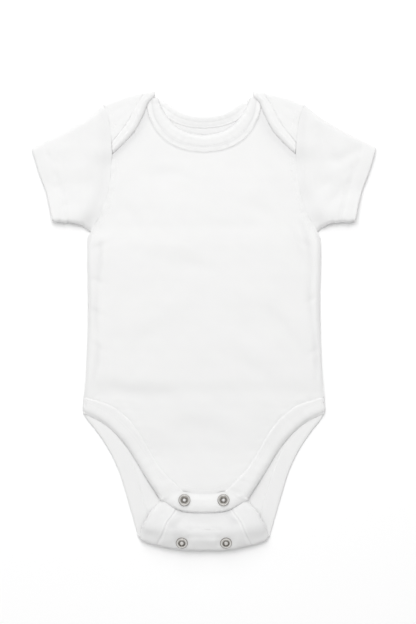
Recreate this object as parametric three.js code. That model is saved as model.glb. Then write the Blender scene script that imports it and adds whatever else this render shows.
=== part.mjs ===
// Baby bodysuit: short sleeves, envelope shoulders and a snapped crotch, lying flat on its back.
// Millimetres, +Z up, +Y towards the neck, origin under the middle of the garment on the surface
// that it lies on. The back is the lowest layer. Its shoulder flaps fold over onto the front, and
// its crotch end folds up over the end of the front, where the front tab is snapped onto it.
import * as THREE from 'three';

// ---- Driving dimensions ----
const WALL = 1.0; // knitted cloth of the panels and sleeves
const STRIP = 2.0; // binding strip and tab, cloth folded double over the panel's cut edge
const SEAM = 0.3; // gap between two pieces at a seam
const CURL_ROOM = 0.35; // more of it round the crotch curl, where the walls' rims lean over
const REST_Z = WALL / 2; // middle of the back's wall where it lies on the surface
const BOUND_Z = STRIP / 2; // the same beside a binding strip
const FRONT_Z = 3.4; // middle of the front's wall round its edges
const FLAP_Z = 6.0; // middle of a shoulder flap's wall at its fold
const FLAP_STEP = 2.1; // from the front's wall to the flap's at the flap's lower end
const CROWN = 1.5; // how much the front stands up in the middle, over the air under it
const SIDE_DROP = 1.6; // the front rolls down this far at the side seams
const SIDE_ROLL = 7; // over this width
const FOLD_END_Y = -150.2; // where the folded-up crotch end stops, under the front
const NOSE_Y = -208.2; // bottom of the crotch fold, at its middle
const TAB_TOP_Y = -155; // top of the front tab
const TAB_Z = 7.4; // middle of the tab there
const TAB_SLOPE = 0.148; // how fast it rises towards its lower edge, over the fold under it
const CUFF_GAP = 3.9; // between the middles of a sleeve's two layers at the cuff
const HEM = 11; // depth of the hem turned up inside the cuff
const HEM_STEP = WALL + SEAM; // from the sleeve's wall to its hem's
const HIP_SLOPE = { front: 0.4, back: 1.1 }; // of the leg seams where they reach the side seam
const SIDE_STEP = 0.2; // the back's side edge lies this far inside the front's
const SHOULDER_TUCK = 5.2; // the front's shoulder ends this far below the shoulder fold
const SNAP_RADIUS = 5.4;
const SNAP_ROWS = { fastened: { x: 17.7, y: -162.5 }, spare: { x: 20, y: -200.8 } };
const SNAP_SIDES = 16;

// Outlines of the right half, one row for each place that gives the line its shape.
const SIDE = [
  { at: 'hip', x: 109.3, y: -68.9 },
  { at: 'belly', x: 107.0, y: -50 },
  { at: 'waist', x: 105.2, y: 10 },
  { at: 'chest', x: 105.7, y: 55 },
  { at: 'armpit', x: 105.6, y: 75 },
];
const ARMHOLE = [
  { at: 'armpit', x: 105.6, y: 75 },
  { at: 'underarm curve', x: 100.3, y: 86.6 },
  { at: 'lower front', x: 94.3, y: 96 },
  { at: 'front', x: 90.2, y: 107 },
  { at: 'middle', x: 86.3, y: 122 },
  { at: 'flap end', x: 83.7, y: 148 },
  { at: 'above flap end', x: 84.1, y: 167 },
  { at: 'below shoulder', x: 86.6, y: 184 },
  { at: 'shoulder', x: 90.0, y: 194 },
];
const SHOULDER_TOP = [
  { at: 'neck side', x: 44.6, y: 206.6 },
  { at: 'peak', x: 50, y: 208.2 },
  { at: 'middle', x: 66, y: 205.6 },
  { at: 'armhole', x: 90.5, y: 196.8 },
];
const SLEEVE_TOP = [
  { at: 'armhole', x: 90.9, y: 196.2 },
  { at: 'cap', x: 103.0, y: 186.4 },
  { at: 'middle', x: 121.2, y: 175.2 },
  { at: 'tip', x: 155.6, y: 157.4 },
];
const CUFF = [
  { at: 'tip', x: 155.6, y: 157.4 },
  { at: 'upper', x: 149.7, y: 137.4 },
  { at: 'lower', x: 141.8, y: 115.6 },
  { at: 'underarm corner', x: 136.2, y: 90.6 },
];
const SLEEVE_UNDER = [
  { at: 'armpit', x: 105.6, y: 75 },
  { at: 'rise', x: 110.6, y: 80.4 },
  { at: 'turn', x: 115.6, y: 84.6 },
  { at: 'underarm corner', x: 136.2, y: 90.6 },
];

// Binding strips, one row for each section: i is the seam to the panel, o the rolled edge.
const FRONT_NECK = [
  { at: 'centre', ix: 0, iy: 153.1, ox: 0, oy: 168.8 },
  { at: 'near centre', ix: 17.3, iy: 155.4, ox: 13.6, oy: 171.2 },
  { at: 'quarter', ix: 32.5, iy: 162.1, ox: 25.6, oy: 177.5 },
  { at: 'side', ix: 43.8, iy: 173.6, ox: 34.4, oy: 187.4 },
  { at: 'at the flap', ix: 50.2, iy: 188.0, ox: 39.4, oy: 196.4 },
  { at: 'under the shoulder', ix: 52.6, iy: 202.6, ox: 41.6, oy: 202.9 },
];
const BACK_NECK = [
  { at: 'centre', ix: 0, iy: 174.8, ox: 0, oy: 186.1 },
  { at: 'near centre', ix: 14.6, iy: 176.2, ox: 12.6, oy: 187.5 },
  { at: 'quarter', ix: 27.2, iy: 180.4, ox: 22.7, oy: 191.2 },
  { at: 'side', ix: 39.0, iy: 188.0, ox: 32.0, oy: 197.4 },
  { at: 'shoulder fold', ix: 55.5, iy: 205.0, ox: 44.6, oy: 204.1 },
];
const FLAP = [
  { at: 'shoulder fold', ix: 55.5, iy: 205.0, ox: 44.6, oy: 204.1 },
  { at: 'peak', ix: 59.4, iy: 200.2, ox: 50.0, oy: 198.6 },
  { at: 'upper edge', ix: 63.6, iy: 192.4, ox: 54.2, oy: 189.2 },
  { at: 'middle', ix: 70.4, iy: 179.4, ox: 61.9, oy: 173.8 },
  { at: 'lower edge', ix: 77.6, iy: 169.8, ox: 71.6, oy: 162.4 },
  { at: 'armhole', ix: 83.5, iy: 162.6, ox: 83.2, oy: 151.6 },
];
const FRONT_LEG = [
  { at: 'tab', ix: 19.6, iy: -154.2, ox: 40.6, oy: -161.2 },
  { at: 'above tab', ix: 29.6, iy: -144.6, ox: 47.0, oy: -151.0 },
  { at: 'lower thigh', ix: 39.6, iy: -134.2, ox: 53.4, oy: -141.0 },
  { at: 'thigh', ix: 49.2, iy: -118.8, ox: 61.4, oy: -128.2 },
  { at: 'upper thigh', ix: 58.6, iy: -102.6, ox: 70.4, oy: -114.4 },
  { at: 'groin', ix: 69.6, iy: -88.4, ox: 80.4, oy: -103.0 },
  { at: 'below hip', ix: 84.2, iy: -77.2, ox: 92.4, oy: -92.6 },
  { at: 'hip', ix: 109.3, iy: -68.9, ox: 110.2, oy: -83.6 },
];
const BACK_LEG = [
  { at: 'hip', ix: 109.3, iy: -68.9, ox: 110.2, oy: -83.6 },
  { at: 'below hip', ix: 97.0, iy: -80.2, ox: 105.0, oy: -91.4 },
  { at: 'groin', ix: 88.0, iy: -90.6, ox: 98.6, oy: -99.2 },
  { at: 'upper seat', ix: 74.2, iy: -110.3, ox: 86.7, oy: -117 },
  { at: 'seat', ix: 64.7, iy: -130.7, ox: 77.8, oy: -135.6 },
  { at: 'lower seat', ix: 58.3, iy: -150.0, ox: 71.9, oy: -154 },
  { at: 'crotch', ix: 52.6, iy: -171.0, ox: 66.4, oy: -173 },
  { at: 'fold', ix: 47.5, iy: -197.7, ox: 60.6, oy: -193.1 },
];
// The folded-up end: along is the distance round the fold from where it leaves the surface.
const FOLDED_END = [
  { at: 'fold', along: 0, inner: 47.5, outer: 60.6 },
  { at: 'nose', along: 8, inner: 43.4, outer: 59.4 },
  { at: 'spare snaps', along: 16, inner: 40.0, outer: 57.8 },
  { at: 'crest', along: 25, inner: 36.6, outer: 55.8 },
  { at: 'slope', along: 34, inner: 33.4, outer: 52.4 },
  { at: 'below tab', along: 43, inner: 27.6, outer: 48.8 },
  { at: 'under tab', along: 52, inner: 24.2, outer: 42.8 },
  { at: 'end', along: 66, inner: 24.0, outer: 36.6 },
];
const TAB = [
  { at: 'centre', ix: 0, iy: -157.2, ox: 0, oy: -174.2 },
  { at: 'beside centre', ix: 10, iy: -156.4, ox: 11.5, oy: -173.8 },
  { at: 'snap', ix: 19.2, iy: -154.9, ox: 22.5, oy: -171.6 },
  { at: 'strip', ix: 30.4, iy: -158.8, ox: 31.4, oy: -167.2 },
  { at: 'corner', ix: 39.9, iy: -162.1, ox: 40.2, oy: -163.1 },
];
// Soft troughs in the front, each a line with a depth and a half width.
const CREASES = [
  { at: 'right underarm', x0: 88, y0: 92, x1: 99, y1: 42, depth: 0.9, half: 7 },
  { at: 'right waist', x0: 93, y0: 18, x1: 102, y1: -54, depth: 0.8, half: 7 },
  { at: 'left side', x0: -97, y0: 70, x1: -95, y1: -50, depth: 0.6, half: 6 },
  { at: 'belly', x0: -46, y0: 58, x1: 16, y1: 42, depth: 0.5, half: 9 },
  { at: 'right hip', x0: 52, y0: 14, x1: 88, y1: -28, depth: 0.5, half: 9 },
  { at: 'left hip', x0: -94, y0: -60, x1: -30, y1: -67, depth: 0.6, half: 9 },
];

// ---- Curves and heights ----
const smooth = (t) => {
  const c = Math.min(Math.max(t, 0), 1);
  return c * c * (3 - 2 * c);
};

/** Points of a smooth line through the rows' x and y columns, at the given shares of its length. */
function along(rows, xName, yName, shares) {
  const knots = rows.map((row) => new THREE.Vector3(row[xName], row[yName], 0));
  const curve = new THREE.CatmullRomCurve3(knots, false, 'centripetal');
  return shares.map((share) => curve.getPointAt(share));
}

/** The value of a column where another column has the given number, straight between two rows. */
function lookUp(rows, from, to, value) {
  const sorted = [...rows].sort((a, b) => a[from] - b[from]);
  let k = 0;
  while (k < sorted.length - 2 && value > sorted[k + 1][from]) k += 1;
  const t = (value - sorted[k][from]) / (sorted[k + 1][from] - sorted[k][from]);
  return THREE.MathUtils.lerp(sorted[k][to], sorted[k + 1][to], Math.min(Math.max(t, 0), 1));
}

const even = (count) => Array.from({ length: count + 1 }, (_, k) => k / count);

/** Middle height of the back's wall. It stands a little higher beside the thicker strips. */
function backHeight(y) {
  return REST_Z + (BOUND_Z - REST_Z) * (smooth((-58 - y) / 12) + smooth((y - 160) / 12));
}

/** How deep the troughs are at a place. */
function creaseDepth(x, y) {
  let depth = 0;
  for (const c of CREASES) {
    const dx = c.x1 - c.x0;
    const dy = c.y1 - c.y0;
    const t = ((x - c.x0) * dx + (y - c.y0) * dy) / (dx * dx + dy * dy);
    const s = Math.min(Math.max(t, 0), 1);
    const off = Math.hypot(x - c.x0 - s * dx, y - c.y0 - s * dy);
    depth += c.depth * smooth(1 - off / (c.half * 1.6)) * Math.sin(Math.PI * (0.1 + 0.8 * s));
  }
  return depth;
}

/** Middle height of the front's wall, by its place in plan. */
function frontHeight(x, y) {
  const side = y > 75 ? 96 : lookUp(SIDE, 'y', 'x', y);
  const inset = Math.max(side - Math.abs(x), 0);
  const roll = Math.max(1 - inset / SIDE_ROLL, 0) ** 2;
  const beside = smooth((y + 66) / 14) * smooth((82 - y) / 14);
  const middle = smooth((side - Math.abs(x)) / 60) * smooth((158 - y) / 70) * smooth((y + 150) / 60);
  const rise = 3.4 * smooth((-112 - y) / 44) * (1 - 0.25 * smooth((Math.abs(x) - 34) / 14));
  const falls = creaseDepth(x, y) * smooth(inset / 5);
  return FRONT_Z - SIDE_DROP * roll * beside + CROWN * middle + rise - falls;
}

/** Middle height of a shoulder flap, which lies on the front and its neck strip. */
function flapHeight(x, y) {
  const upwards = smooth((y - 150) / 50);
  return frontHeight(x, y) + THREE.MathUtils.lerp(FLAP_STEP, FLAP_Z - FRONT_Z, upwards);
}

/** Middle height of the front tab, which lies on the folded-up end. */
function tabHeight(x, y) {
  return TAB_Z - TAB_SLOPE * (y - TAB_TOP_Y) - 1.2 * smooth((Math.abs(x) - 23) / 17);
}

// ---- The crotch fold ----
/** Section of the fold at the middle: y from the fold's bottom, z from the back's wall. */
function foldSection() {
  const curl = { depth: 4.6, height: 4.8 };
  const nose = 2.2;
  const tilt = THREE.MathUtils.degToRad(20);
  const seat = 11.2;
  const crest = 14;
  const points = [];
  for (const a of [0, 35, 65, 90].map(THREE.MathUtils.degToRad)) {
    points.push({ y: curl.depth * (1 - Math.sin(a)), z: curl.height * (1 - Math.cos(a)) });
  }
  for (const a of [35, 70].map(THREE.MathUtils.degToRad)) {
    points.push({ y: nose * (1 - Math.cos(a)), z: curl.height + nose * Math.sin(a) });
  }
  const start = points[points.length - 1];
  for (const part of [0.5, 1]) {
    const reach = seat * part;
    points.push({ y: start.y + reach * Math.cos(tilt), z: start.z + reach * Math.sin(tilt) });
  }
  const top = points[points.length - 1];
  const middle = { y: top.y + crest * Math.sin(tilt), z: top.z - crest * Math.cos(tilt) };
  for (const a of [6, -6, -18].map(THREE.MathUtils.degToRad)) {
    points.push({ y: middle.y - crest * Math.sin(a), z: middle.z + crest * Math.cos(a) });
  }
  points.push({ y: 29, z: 8.1 }, { y: 35, z: 5.6 }, { y: 40, z: 4.2 }, { y: 51.5, z: 2.8 });
  points.push({ y: FOLD_END_Y - NOSE_Y, z: 2.4 });
  let length = 0;
  return points.map((p, k) => {
    if (k > 0) length += Math.hypot(p.y - points[k - 1].y, p.z - points[k - 1].z);
    return { ...p, along: length };
  });
}
const FOLD_SECTION = foldSection();

/** A place on the folded-up end: the section is shorter and lower towards the leg openings. */
function foldPoint(x, section) {
  const nose = NOSE_Y + 9.5 * (Math.abs(x) / 56.3) ** 2.3;
  const shorter = (FOLD_END_Y - nose) / (FOLD_END_Y - NOSE_Y);
  const lower = 1 - 0.36 * smooth((Math.abs(x) - 28) / 32);
  return new THREE.Vector3(x, nose + shorter * section.y, BOUND_Z + lower * section.z);
}

/** A place on the folded-up end that has the given x and y, on its upper side. */
function onFold(x, y) {
  const upper = FOLD_SECTION.slice(5).map((section) => foldPoint(x, section));
  return new THREE.Vector3(x, y, lookUp(upper, 'y', 'z', y));
}

// ---- Closed walls ----
/** A surface of quads from rows of points. A row may close into a ring. */
function quads(rows, ring = false) {
  const faces = [];
  for (let i = 0; i < rows.length - 1; i += 1) {
    const count = rows[i].length;
    for (let j = 0; j < (ring ? count : count - 1); j += 1) {
      const k = (j + 1) % count;
      faces.push([rows[i][j], rows[i][k], rows[i + 1][k], rows[i + 1][j]]);
    }
  }
  return faces;
}

/** The faces' shared corners, numbered, with corners that meet in one place merged. */
function weld(faces) {
  const numbers = new Map();
  const points = [];
  const numbered = faces.map((face) => {
    const corners = face.map((p) => {
      const key = [p.x, p.y, p.z].map((c) => Math.round(c * 1000)).join(' ');
      if (!numbers.has(key)) {
        numbers.set(key, points.length);
        points.push(p);
      }
      return numbers.get(key);
    });
    return corners.filter((corner, k) => corner !== corners[(k + 1) % corners.length]);
  });
  return { points, faces: numbered.filter((face) => face.length > 2) };
}

/** One closed wall around a surface, half its thickness to each side, with rims at open edges. */
function wall(surface, thickness) {
  const { points, faces } = weld(surface);
  const normals = points.map(() => new THREE.Vector3());
  const edges = new Map();
  for (const face of faces) {
    const [a, b, c] = [points[face[0]], points[face[1]], points[face[2]]];
    const d = points[face[face.length - 1]];
    const across = new THREE.Vector3().subVectors(c, a);
    const other = face.length === 4 ? new THREE.Vector3().subVectors(d, b) : null;
    const normal = new THREE.Vector3();
    if (other) normal.crossVectors(across, other);
    else normal.crossVectors(new THREE.Vector3().subVectors(b, a), across);
    face.forEach((corner, k) => {
      normals[corner].add(normal);
      edges.set(`${corner} ${face[(k + 1) % face.length]}`, [corner, face[(k + 1) % face.length]]);
    });
  }
  const half = (p) => (p.thick ?? thickness) / 2;
  const move = (side) =>
    points.map((p, k) => p.clone().addScaledVector(normals[k].normalize(), side * half(p)));
  const corners = [...move(1), ...move(-1)];
  const under = points.length;
  const triangles = [];
  const flat = (loop) => {
    for (let k = 1; k < loop.length - 1; k += 1) triangles.push(loop[0], loop[k], loop[k + 1]);
  };
  for (const face of faces) {
    flat(face);
    const reversed = [face[0], ...face.slice(1).reverse()];
    flat(reversed.map((corner) => corner + under));
  }
  for (const [a, b] of edges.values()) {
    if (!edges.has(`${b} ${a}`)) flat([b, a, a + under, b + under]);
  }
  return closedGeometry(corners, triangles);
}

/** A geometry from corners and triangles, turned so that its faces point outwards. */
function closedGeometry(corners, triangles) {
  let volume = 0;
  for (let k = 0; k < triangles.length; k += 3) {
    const [a, b, c] = [corners[triangles[k]], corners[triangles[k + 1]], corners[triangles[k + 2]]];
    volume += a.dot(new THREE.Vector3().crossVectors(b, c));
  }
  const geometry = new THREE.BufferGeometry();
  geometry.setAttribute('position', new THREE.Float32BufferAttribute(
    corners.flatMap((p) => p.toArray()), 3));
  geometry.setIndex(volume > 0 ? triangles : triangles.reverse());
  geometry.computeVertexNormals();
  return geometry;
}

const mirrored = (points) => points.map((p) => new THREE.Vector3(-p.x, p.y, p.z)).reverse();
const bothSides = (half) => [...mirrored(half), ...half.slice(1)];
const lift = (rows, height) => rows.map((row) => row.map((p) => {
  const z = height(p.x, p.y);
  return new THREE.Vector3(p.x, p.y, z);
}));

/** Moves a line sideways in plan by the given amount, to its left if that is positive. */
function offset(points, amount) {
  return points.map((p, k) => {
    const a = points[Math.max(k - 1, 0)];
    const b = points[Math.min(k + 1, points.length - 1)];
    const run = Math.hypot(b.x - a.x, b.y - a.y);
    const move = new THREE.Vector3(-(b.y - a.y), b.x - a.x, 0).multiplyScalar(amount / run);
    return p.clone().add(move);
  });
}

/** Rows of points that fill a panel whose right edge, bottom and top lines are given. */
function fill(right, bottom, top) {
  const reach = top[top.length - 1].x;
  const last = right.length - 1;
  let length = 0;
  const heights = right.map((p, i) => {
    if (i > 0) length += p.distanceTo(right[i - 1]);
    return length;
  });
  return right.map((edge, i) => top.map((p, j) => {
    const share = p.x / reach;
    const v = heights[i] / heights[last];
    const x = edge.x * share;
    const fromBottom = (1 - v) ** 3;
    const fromTop = v ** 3;
    return new THREE.Vector3(
      x + fromBottom * (bottom[j].x - right[0].x * share),
      edge.y + fromBottom * (bottom[j].y - right[0].y) + fromTop * (p.y - right[last].y),
      0);
  }));
}

// ---- Shared seam lines of the right half ----
const ARM_SHARES = [0, 0.05, 0.11, 0.19, 0.29, 0.41, 0.55, 0.7, 0.85, 1];
const armhole = along(ARMHOLE, 'x', 'y', ARM_SHARES);
const side = along(SIDE, 'x', 'y', even(5));
const frontLegSeam = along(FRONT_LEG, 'ix', 'iy', even(8));
const backLegSeam = along(BACK_LEG, 'ix', 'iy', even(8));
const frontNeckSeam = along(FRONT_NECK, 'ix', 'iy', even(6));
const backNeckSeam = along(BACK_NECK, 'ix', 'iy', even(6));
const flapSeam = along(FLAP, 'ix', 'iy', even(5));

/** The seam lines share their ends, so this drops each repeated point. */
const chain = (...lines) => lines.flatMap((line, k) => (k ? line.slice(1) : line));

/** A line of the same points, at these x places, with y read off the given line. */
function atPlaces(line, xs) {
  return xs.map((x) => new THREE.Vector3(x, lookUp(line, 'x', 'y', x), 0));
}

// ---- Front ----
function frontPanel() {
  const gap = SEAM / 2;
  const leg = offset(frontLegSeam, gap);
  const arm = offset(armhole, gap);
  const right = chain(leg, side, arm);
  const corner = right[right.length - 1];
  const neck = offset(frontNeckSeam, -gap);
  const shoulder = [0.3, 0.62, 0.86, 0.97, 1].map((share) => {
    const x = THREE.MathUtils.lerp(neck[neck.length - 1].x, corner.x, share);
    const low = lookUp(SHOULDER_TOP, 'x', 'y', x) - SHOULDER_TUCK;
    return new THREE.Vector3(x, THREE.MathUtils.lerp(low, corner.y, smooth(share * 3 - 2)), 0);
  });
  const top = [...neck, ...shoulder];
  const seam = along(TAB.slice(0, 3), 'ix', 'iy', even(12)).map((p) => p.setY(p.y + gap));
  const bottom = atPlaces(seam, top.map((p) => (p.x / corner.x) * right[0].x));
  bottom.forEach((p, k) => p.setY(p.y + (right[0].y - bottom[bottom.length - 1].y) * (k / top.length)));
  const half = fill(right, bottom, top);
  return wall(quads(lift(half.map(bothSides), frontHeight)), WALL);
}

// ---- Back with its shoulder flaps and its folded-up crotch end ----
const FOLD_TURNS = [0, 45, 90, 135, 180].map(THREE.MathUtils.degToRad);

/** The rows of a shoulder fold, over a line of x places, from the back up and over to the flap. */
function shoulderFold(xs, turns) {
  return turns.map((turn) => xs.map((x) => {
    const radius = (FLAP_Z - BOUND_Z) / 2;
    const y = lookUp(SHOULDER_TOP, 'x', 'y', x) - radius * (1 - Math.sin(turn));
    return new THREE.Vector3(x, y, BOUND_Z + radius * (1 - Math.cos(turn)));
  }));
}

function backPanel() {
  const gap = SEAM / 2;
  const leg = offset([...backLegSeam].reverse(), gap);
  const arm = offset(armhole, gap);
  const right = chain(leg, side.map((p) => p.clone().setX(p.x - SIDE_STEP)), arm);
  const neck = offset(backNeckSeam, -gap);
  const crossing = BACK_NECK[BACK_NECK.length - 1].ix + gap;
  const foldXs = [0, 0.2, 0.4, 0.6, 0.8, 1].map((t) => THREE.MathUtils.lerp(crossing, arm[9].x, t));
  const foldRows = shoulderFold(foldXs, FOLD_TURNS);
  const top = [...neck.slice(0, -1), ...foldRows[0]];
  right[right.length - 1] = top[top.length - 1];
  const reach = top[top.length - 1].x;
  const start = right[0].x;
  const bottom = top.map((p) => foldPoint((p.x / reach) * start, FOLD_SECTION[0]));
  right[0] = bottom[bottom.length - 1];
  const body = lift(fill(right, bottom, top).map(bothSides), (x, y) => backHeight(y));
  const folded = FOLD_SECTION.map((section) => {
    const width = section.along === 0 ? start : lookUp(FOLDED_END, 'along', 'inner', section.along) - gap;
    return bothSides(top.map((p) => foldPoint((p.x / reach) * width, section)));
  });
  folded[0] = body[0];
  body[body.length - 1] = bothSides(top.map((p) => new THREE.Vector3(p.x, p.y, backHeight(p.y))));
  const half = foldXs.length - 1;
  const rightFold = foldRows.map((row) => row.map((p) => p.clone()));
  const edge = offset(flapSeam, SEAM);
  edge[0] = rightFold[FOLD_TURNS.length - 1][0];
  const flapArm = [0, 0.25, 0.5, 0.75, 1];
  const last = rightFold[FOLD_TURNS.length - 1];
  const flap = flapArm.map((t) => last.map((p, k) => {
    const x = THREE.MathUtils.lerp(p.x, edge[k].x, t);
    const y = THREE.MathUtils.lerp(p.y, edge[k].y, t);
    if (k === half) return new THREE.Vector3(lookUp(arm, 'y', 'x', y) - SEAM, y, 0);
    return new THREE.Vector3(x, y, 0);
  }));
  const flapRows = lift(flap, flapHeight);
  flapRows[0] = last;
  flapRows.forEach((row) => { row[0] = last[0]; });
  const faces = [...quads(folded.reverse()), ...quads(body)];
  for (const rows of [rightFold, flapRows]) {
    faces.push(...quads(rows), ...quads(rows.map(mirrored)));
  }
  return wall(faces, WALL);
}

// ---- Sleeves ----
const SLEEVE_STEPS = [0, 0.1, 0.26, 0.45, 0.62, 0.78, 0.9, 1];

/** A sleeve's ring of places: its top fold, the upper layer, the underarm fold, the lower layer. */
function sleeveRing(s) {
  const shares = [...ARM_SHARES].reverse();
  const places = [0, ...shares.slice(0, -1).map((share) => 0.035 + 0.965 * (1 - share)), 1];
  const arm = offset(armhole, -SEAM).reverse();
  const [top0, low0] = [SLEEVE_TOP[0], SLEEVE_UNDER[0]];
  const [top1, low1] = [CUFF[0], CUFF[CUFF.length - 1]];
  const start = [new THREE.Vector3(top0.x, top0.y, 0), ...arm];
  const end = along(CUFF, 'x', 'y', places);
  const [topEdge] = along(SLEEVE_TOP, 'x', 'y', [s]);
  const [lowEdge] = along(SLEEVE_UNDER, 'x', 'y', [s]);
  const plan = places.map((c, k) => {
    const blend = (name) => {
      const top = topEdge[name] - THREE.MathUtils.lerp(top0[name], top1[name], s);
      const low = lowEdge[name] - THREE.MathUtils.lerp(low0[name], low1[name], s);
      return THREE.MathUtils.lerp(start[k][name], end[k][name], s) + (1 - c) * top + c * low;
    };
    return { x: blend('x'), y: blend('y'), c };
  });
  const low = (p) => REST_Z + 3.6 * smooth((p.c - 0.55) / 0.45) * smooth(s * 2.2);
  const gapAt = (p) => {
    const seam = (p.y > 150 ? flapHeight(86, p.y) : frontHeight(p.x, p.y)) - REST_Z;
    const puff = 1.2 * Math.sin(Math.PI * s) * Math.sin(Math.PI * p.c);
    return THREE.MathUtils.lerp(Math.max(seam, 2.9), CUFF_GAP, smooth(s * 1.6)) + puff;
  };
  const point = (p, share) => new THREE.Vector3(p.x, p.y, low(p) + share * gapAt(p));
  const inner = plan.slice(1, -1);
  return [
    point(plan[0], 0.5),
    ...inner.map((p) => point(p, 1)),
    point(plan[plan.length - 1], 0.5),
    ...[...inner].reverse().map((p) => point(p, 0)),
  ];
}

/** Which way is into the sleeve, for each place of its ring. */
function inwards(ring) {
  const half = ring.length / 2;
  const across = new THREE.Vector3().subVectors(ring[half], ring[0]).setZ(0).normalize();
  return ring.map((p, k) => {
    if (k === 0) return across;
    if (k === half) return across.clone().negate();
    return new THREE.Vector3(0, 0, k < half ? -1 : 1);
  });
}

/** A sleeve: a flat tube from the armhole to the cuff, with its hem turned up inside. */
function sleeve(sign) {
  const rings = SLEEVE_STEPS.map(sleeveRing);
  const cuff = rings[rings.length - 1];
  const into = inwards(cuff);
  const before = rings[rings.length - 2];
  for (const turn of [60, 120, 180].map(THREE.MathUtils.degToRad)) {
    rings.push(cuff.map((p, k) => {
      const out = new THREE.Vector3().subVectors(p, before[k]).normalize();
      const radius = HEM_STEP / 2;
      return p.clone().addScaledVector(out, radius * Math.sin(turn))
        .addScaledVector(into[k], radius * (1 - Math.cos(turn)));
    }));
  }
  const hem = rings.slice(-4)[0].map((p, k) => {
    const back = new THREE.Vector3().subVectors(before[k], p).normalize();
    return p.clone().addScaledVector(back, HEM).addScaledVector(into[k], HEM_STEP);
  });
  rings.push(hem);
  const placed = rings.map((ring) => ring.map((p) => new THREE.Vector3(sign * p.x, p.y, p.z)));
  return wall(quads(placed, true), WALL);
}

// ---- Binding strips and tab ----
const ACROSS = [0, 0.45, 0.86, 1]; // from a strip's seam to its rolled edge
const ROLLED = STRIP * 0.4; // thickness at the rolled edge

/** One section of a strip, from its seam to its rolled edge, placed by the given function. */
function section(inner, outer, place) {
  return ACROSS.map((w) => {
    const p = place(new THREE.Vector3().lerpVectors(inner, outer, w));
    if (w === 1) p.thick = ROLLED;
    return p;
  });
}

const toHeight = (height) => (p) => new THREE.Vector3(p.x, p.y, height(p.x, p.y));

/** Sections of a strip between its seam line and the rolled edge in the table. */
function stripSections(rows, seam, shift, height) {
  const inner = offset(seam, shift);
  const outer = along(rows, 'ox', 'oy', even(seam.length - 1));
  return inner.map((p, k) => section(p, outer[k], toHeight(height)));
}

const flipped = (rows) => rows.map((row) => row.map((p) => {
  const q = new THREE.Vector3(-p.x, p.y, p.z);
  if (p.thick) q.thick = p.thick;
  return q;
}));

function frontNeckStrip() {
  const half = stripSections(FRONT_NECK, frontNeckSeam, SEAM / 2, frontHeight);
  return wall(quads([...flipped(half).reverse(), ...half.slice(1)]), STRIP);
}

/** The strip round the back of the neck, over both shoulders and down the flaps. */
function backNeckStrip() {
  const back = stripSections(BACK_NECK, backNeckSeam, SEAM / 2, () => BOUND_Z);
  const inner = BACK_NECK[BACK_NECK.length - 1].ix - SEAM / 2;
  const outer = FLAP[0].ox;
  const xs = ACROSS.map((w) => THREE.MathUtils.lerp(inner, outer, w));
  const fold = shoulderFold(xs, FOLD_TURNS);
  fold.forEach((row) => { row[row.length - 1].thick = ROLLED; });
  const flap = stripSections(FLAP, flapSeam, -SEAM / 2, flapHeight).slice(1);
  const half = [...back.slice(0, -1), ...fold, ...flap];
  return wall(quads([...flipped(half).reverse(), ...half.slice(1)]), STRIP);
}

/** The strip round one leg opening: down the front, round the hip, down the back and over the fold. */
function legStrip(sign) {
  const gap = SEAM / 2;
  const front = stripSections(FRONT_LEG, frontLegSeam, -gap, frontHeight);
  const back = stripSections(BACK_LEG, backLegSeam, gap, () => BOUND_Z);
  const radius = (FRONT_Z - BOUND_Z) / 2;
  const hip = front[front.length - 1];
  const inset = radius + STRIP / 2 - 0.9;
  const turned = [0, 45, 90, 135, 180].map(THREE.MathUtils.degToRad).map((turn) => hip.map((p) => {
    const x = p.x - inset + radius * Math.sin(turn);
    const y = p.y - inset * THREE.MathUtils.lerp(HIP_SLOPE.front, HIP_SLOPE.back, turn / Math.PI);
    const q = new THREE.Vector3(x, y, BOUND_Z + radius * (1 + Math.cos(turn)));
    if (p.thick) q.thick = p.thick;
    return q;
  }));
  const folded = FOLD_SECTION.slice(1).map((place) => {
    const reach = lookUp(FOLDED_END, 'along', 'inner', place.along) + gap + CURL_ROOM;
    const inner = new THREE.Vector3(reach, 0, 0);
    const outer = new THREE.Vector3(lookUp(FOLDED_END, 'along', 'outer', place.along), 0, 0);
    return section(inner, outer, (p) => foldPoint(p.x, place));
  });
  const start = section(
    new THREE.Vector3(FOLDED_END[0].inner + gap + CURL_ROOM, 0, 0),
    new THREE.Vector3(FOLDED_END[0].outer, 0, 0),
    (p) => foldPoint(p.x, FOLD_SECTION[0]));
  const half = [...front.slice(0, -1), ...turned, ...back.slice(1, -1), start, ...folded];
  return wall(quads(sign > 0 ? half : flipped(half)), STRIP);
}

/** The tab: a folded facing across the end of the front, over the ends of both leg strips. */
function frontTab() {
  const count = even(7);
  const upper = along(TAB, 'ix', 'iy', count).map((p) => p.setY(p.y - SEAM / 2));
  const lower = along(TAB, 'ox', 'oy', count);
  const rows = upper.map((p, k) => section(p, lower[k], toHeight(tabHeight)));
  return wall(quads([...flipped(rows).reverse(), ...rows.slice(1)]), STRIP);
}

// ---- Snaps ----
/** A turned piece from its section, r from the axis and z along it, as a closed loop. */
function turned(loop) {
  const geometry = new THREE.LatheGeometry(loop.map(([r, z]) => new THREE.Vector2(r, z)), SNAP_SIDES);
  return geometry.rotateX(Math.PI / 2);
}

const R = SNAP_RADIUS; // short, for the sections below
const SEAT_GAP = SEAM + 0.05; // between a snap's piece and the wall that it grips
/** The open ring that grips the cloth's outer face, z up from the cloth. */
const ringLoop = [
  [R * 0.96, 0], [R, 0.4], [R * 0.93, 0.95], [R * 0.79, 1.2], [R * 0.64, 1.0],
  [R * 0.52, 0.7], [R * 0.36, 0.75], [R * 0.27, 0.55], [R * 0.28, 0], [R * 0.96, 0],
];
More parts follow.
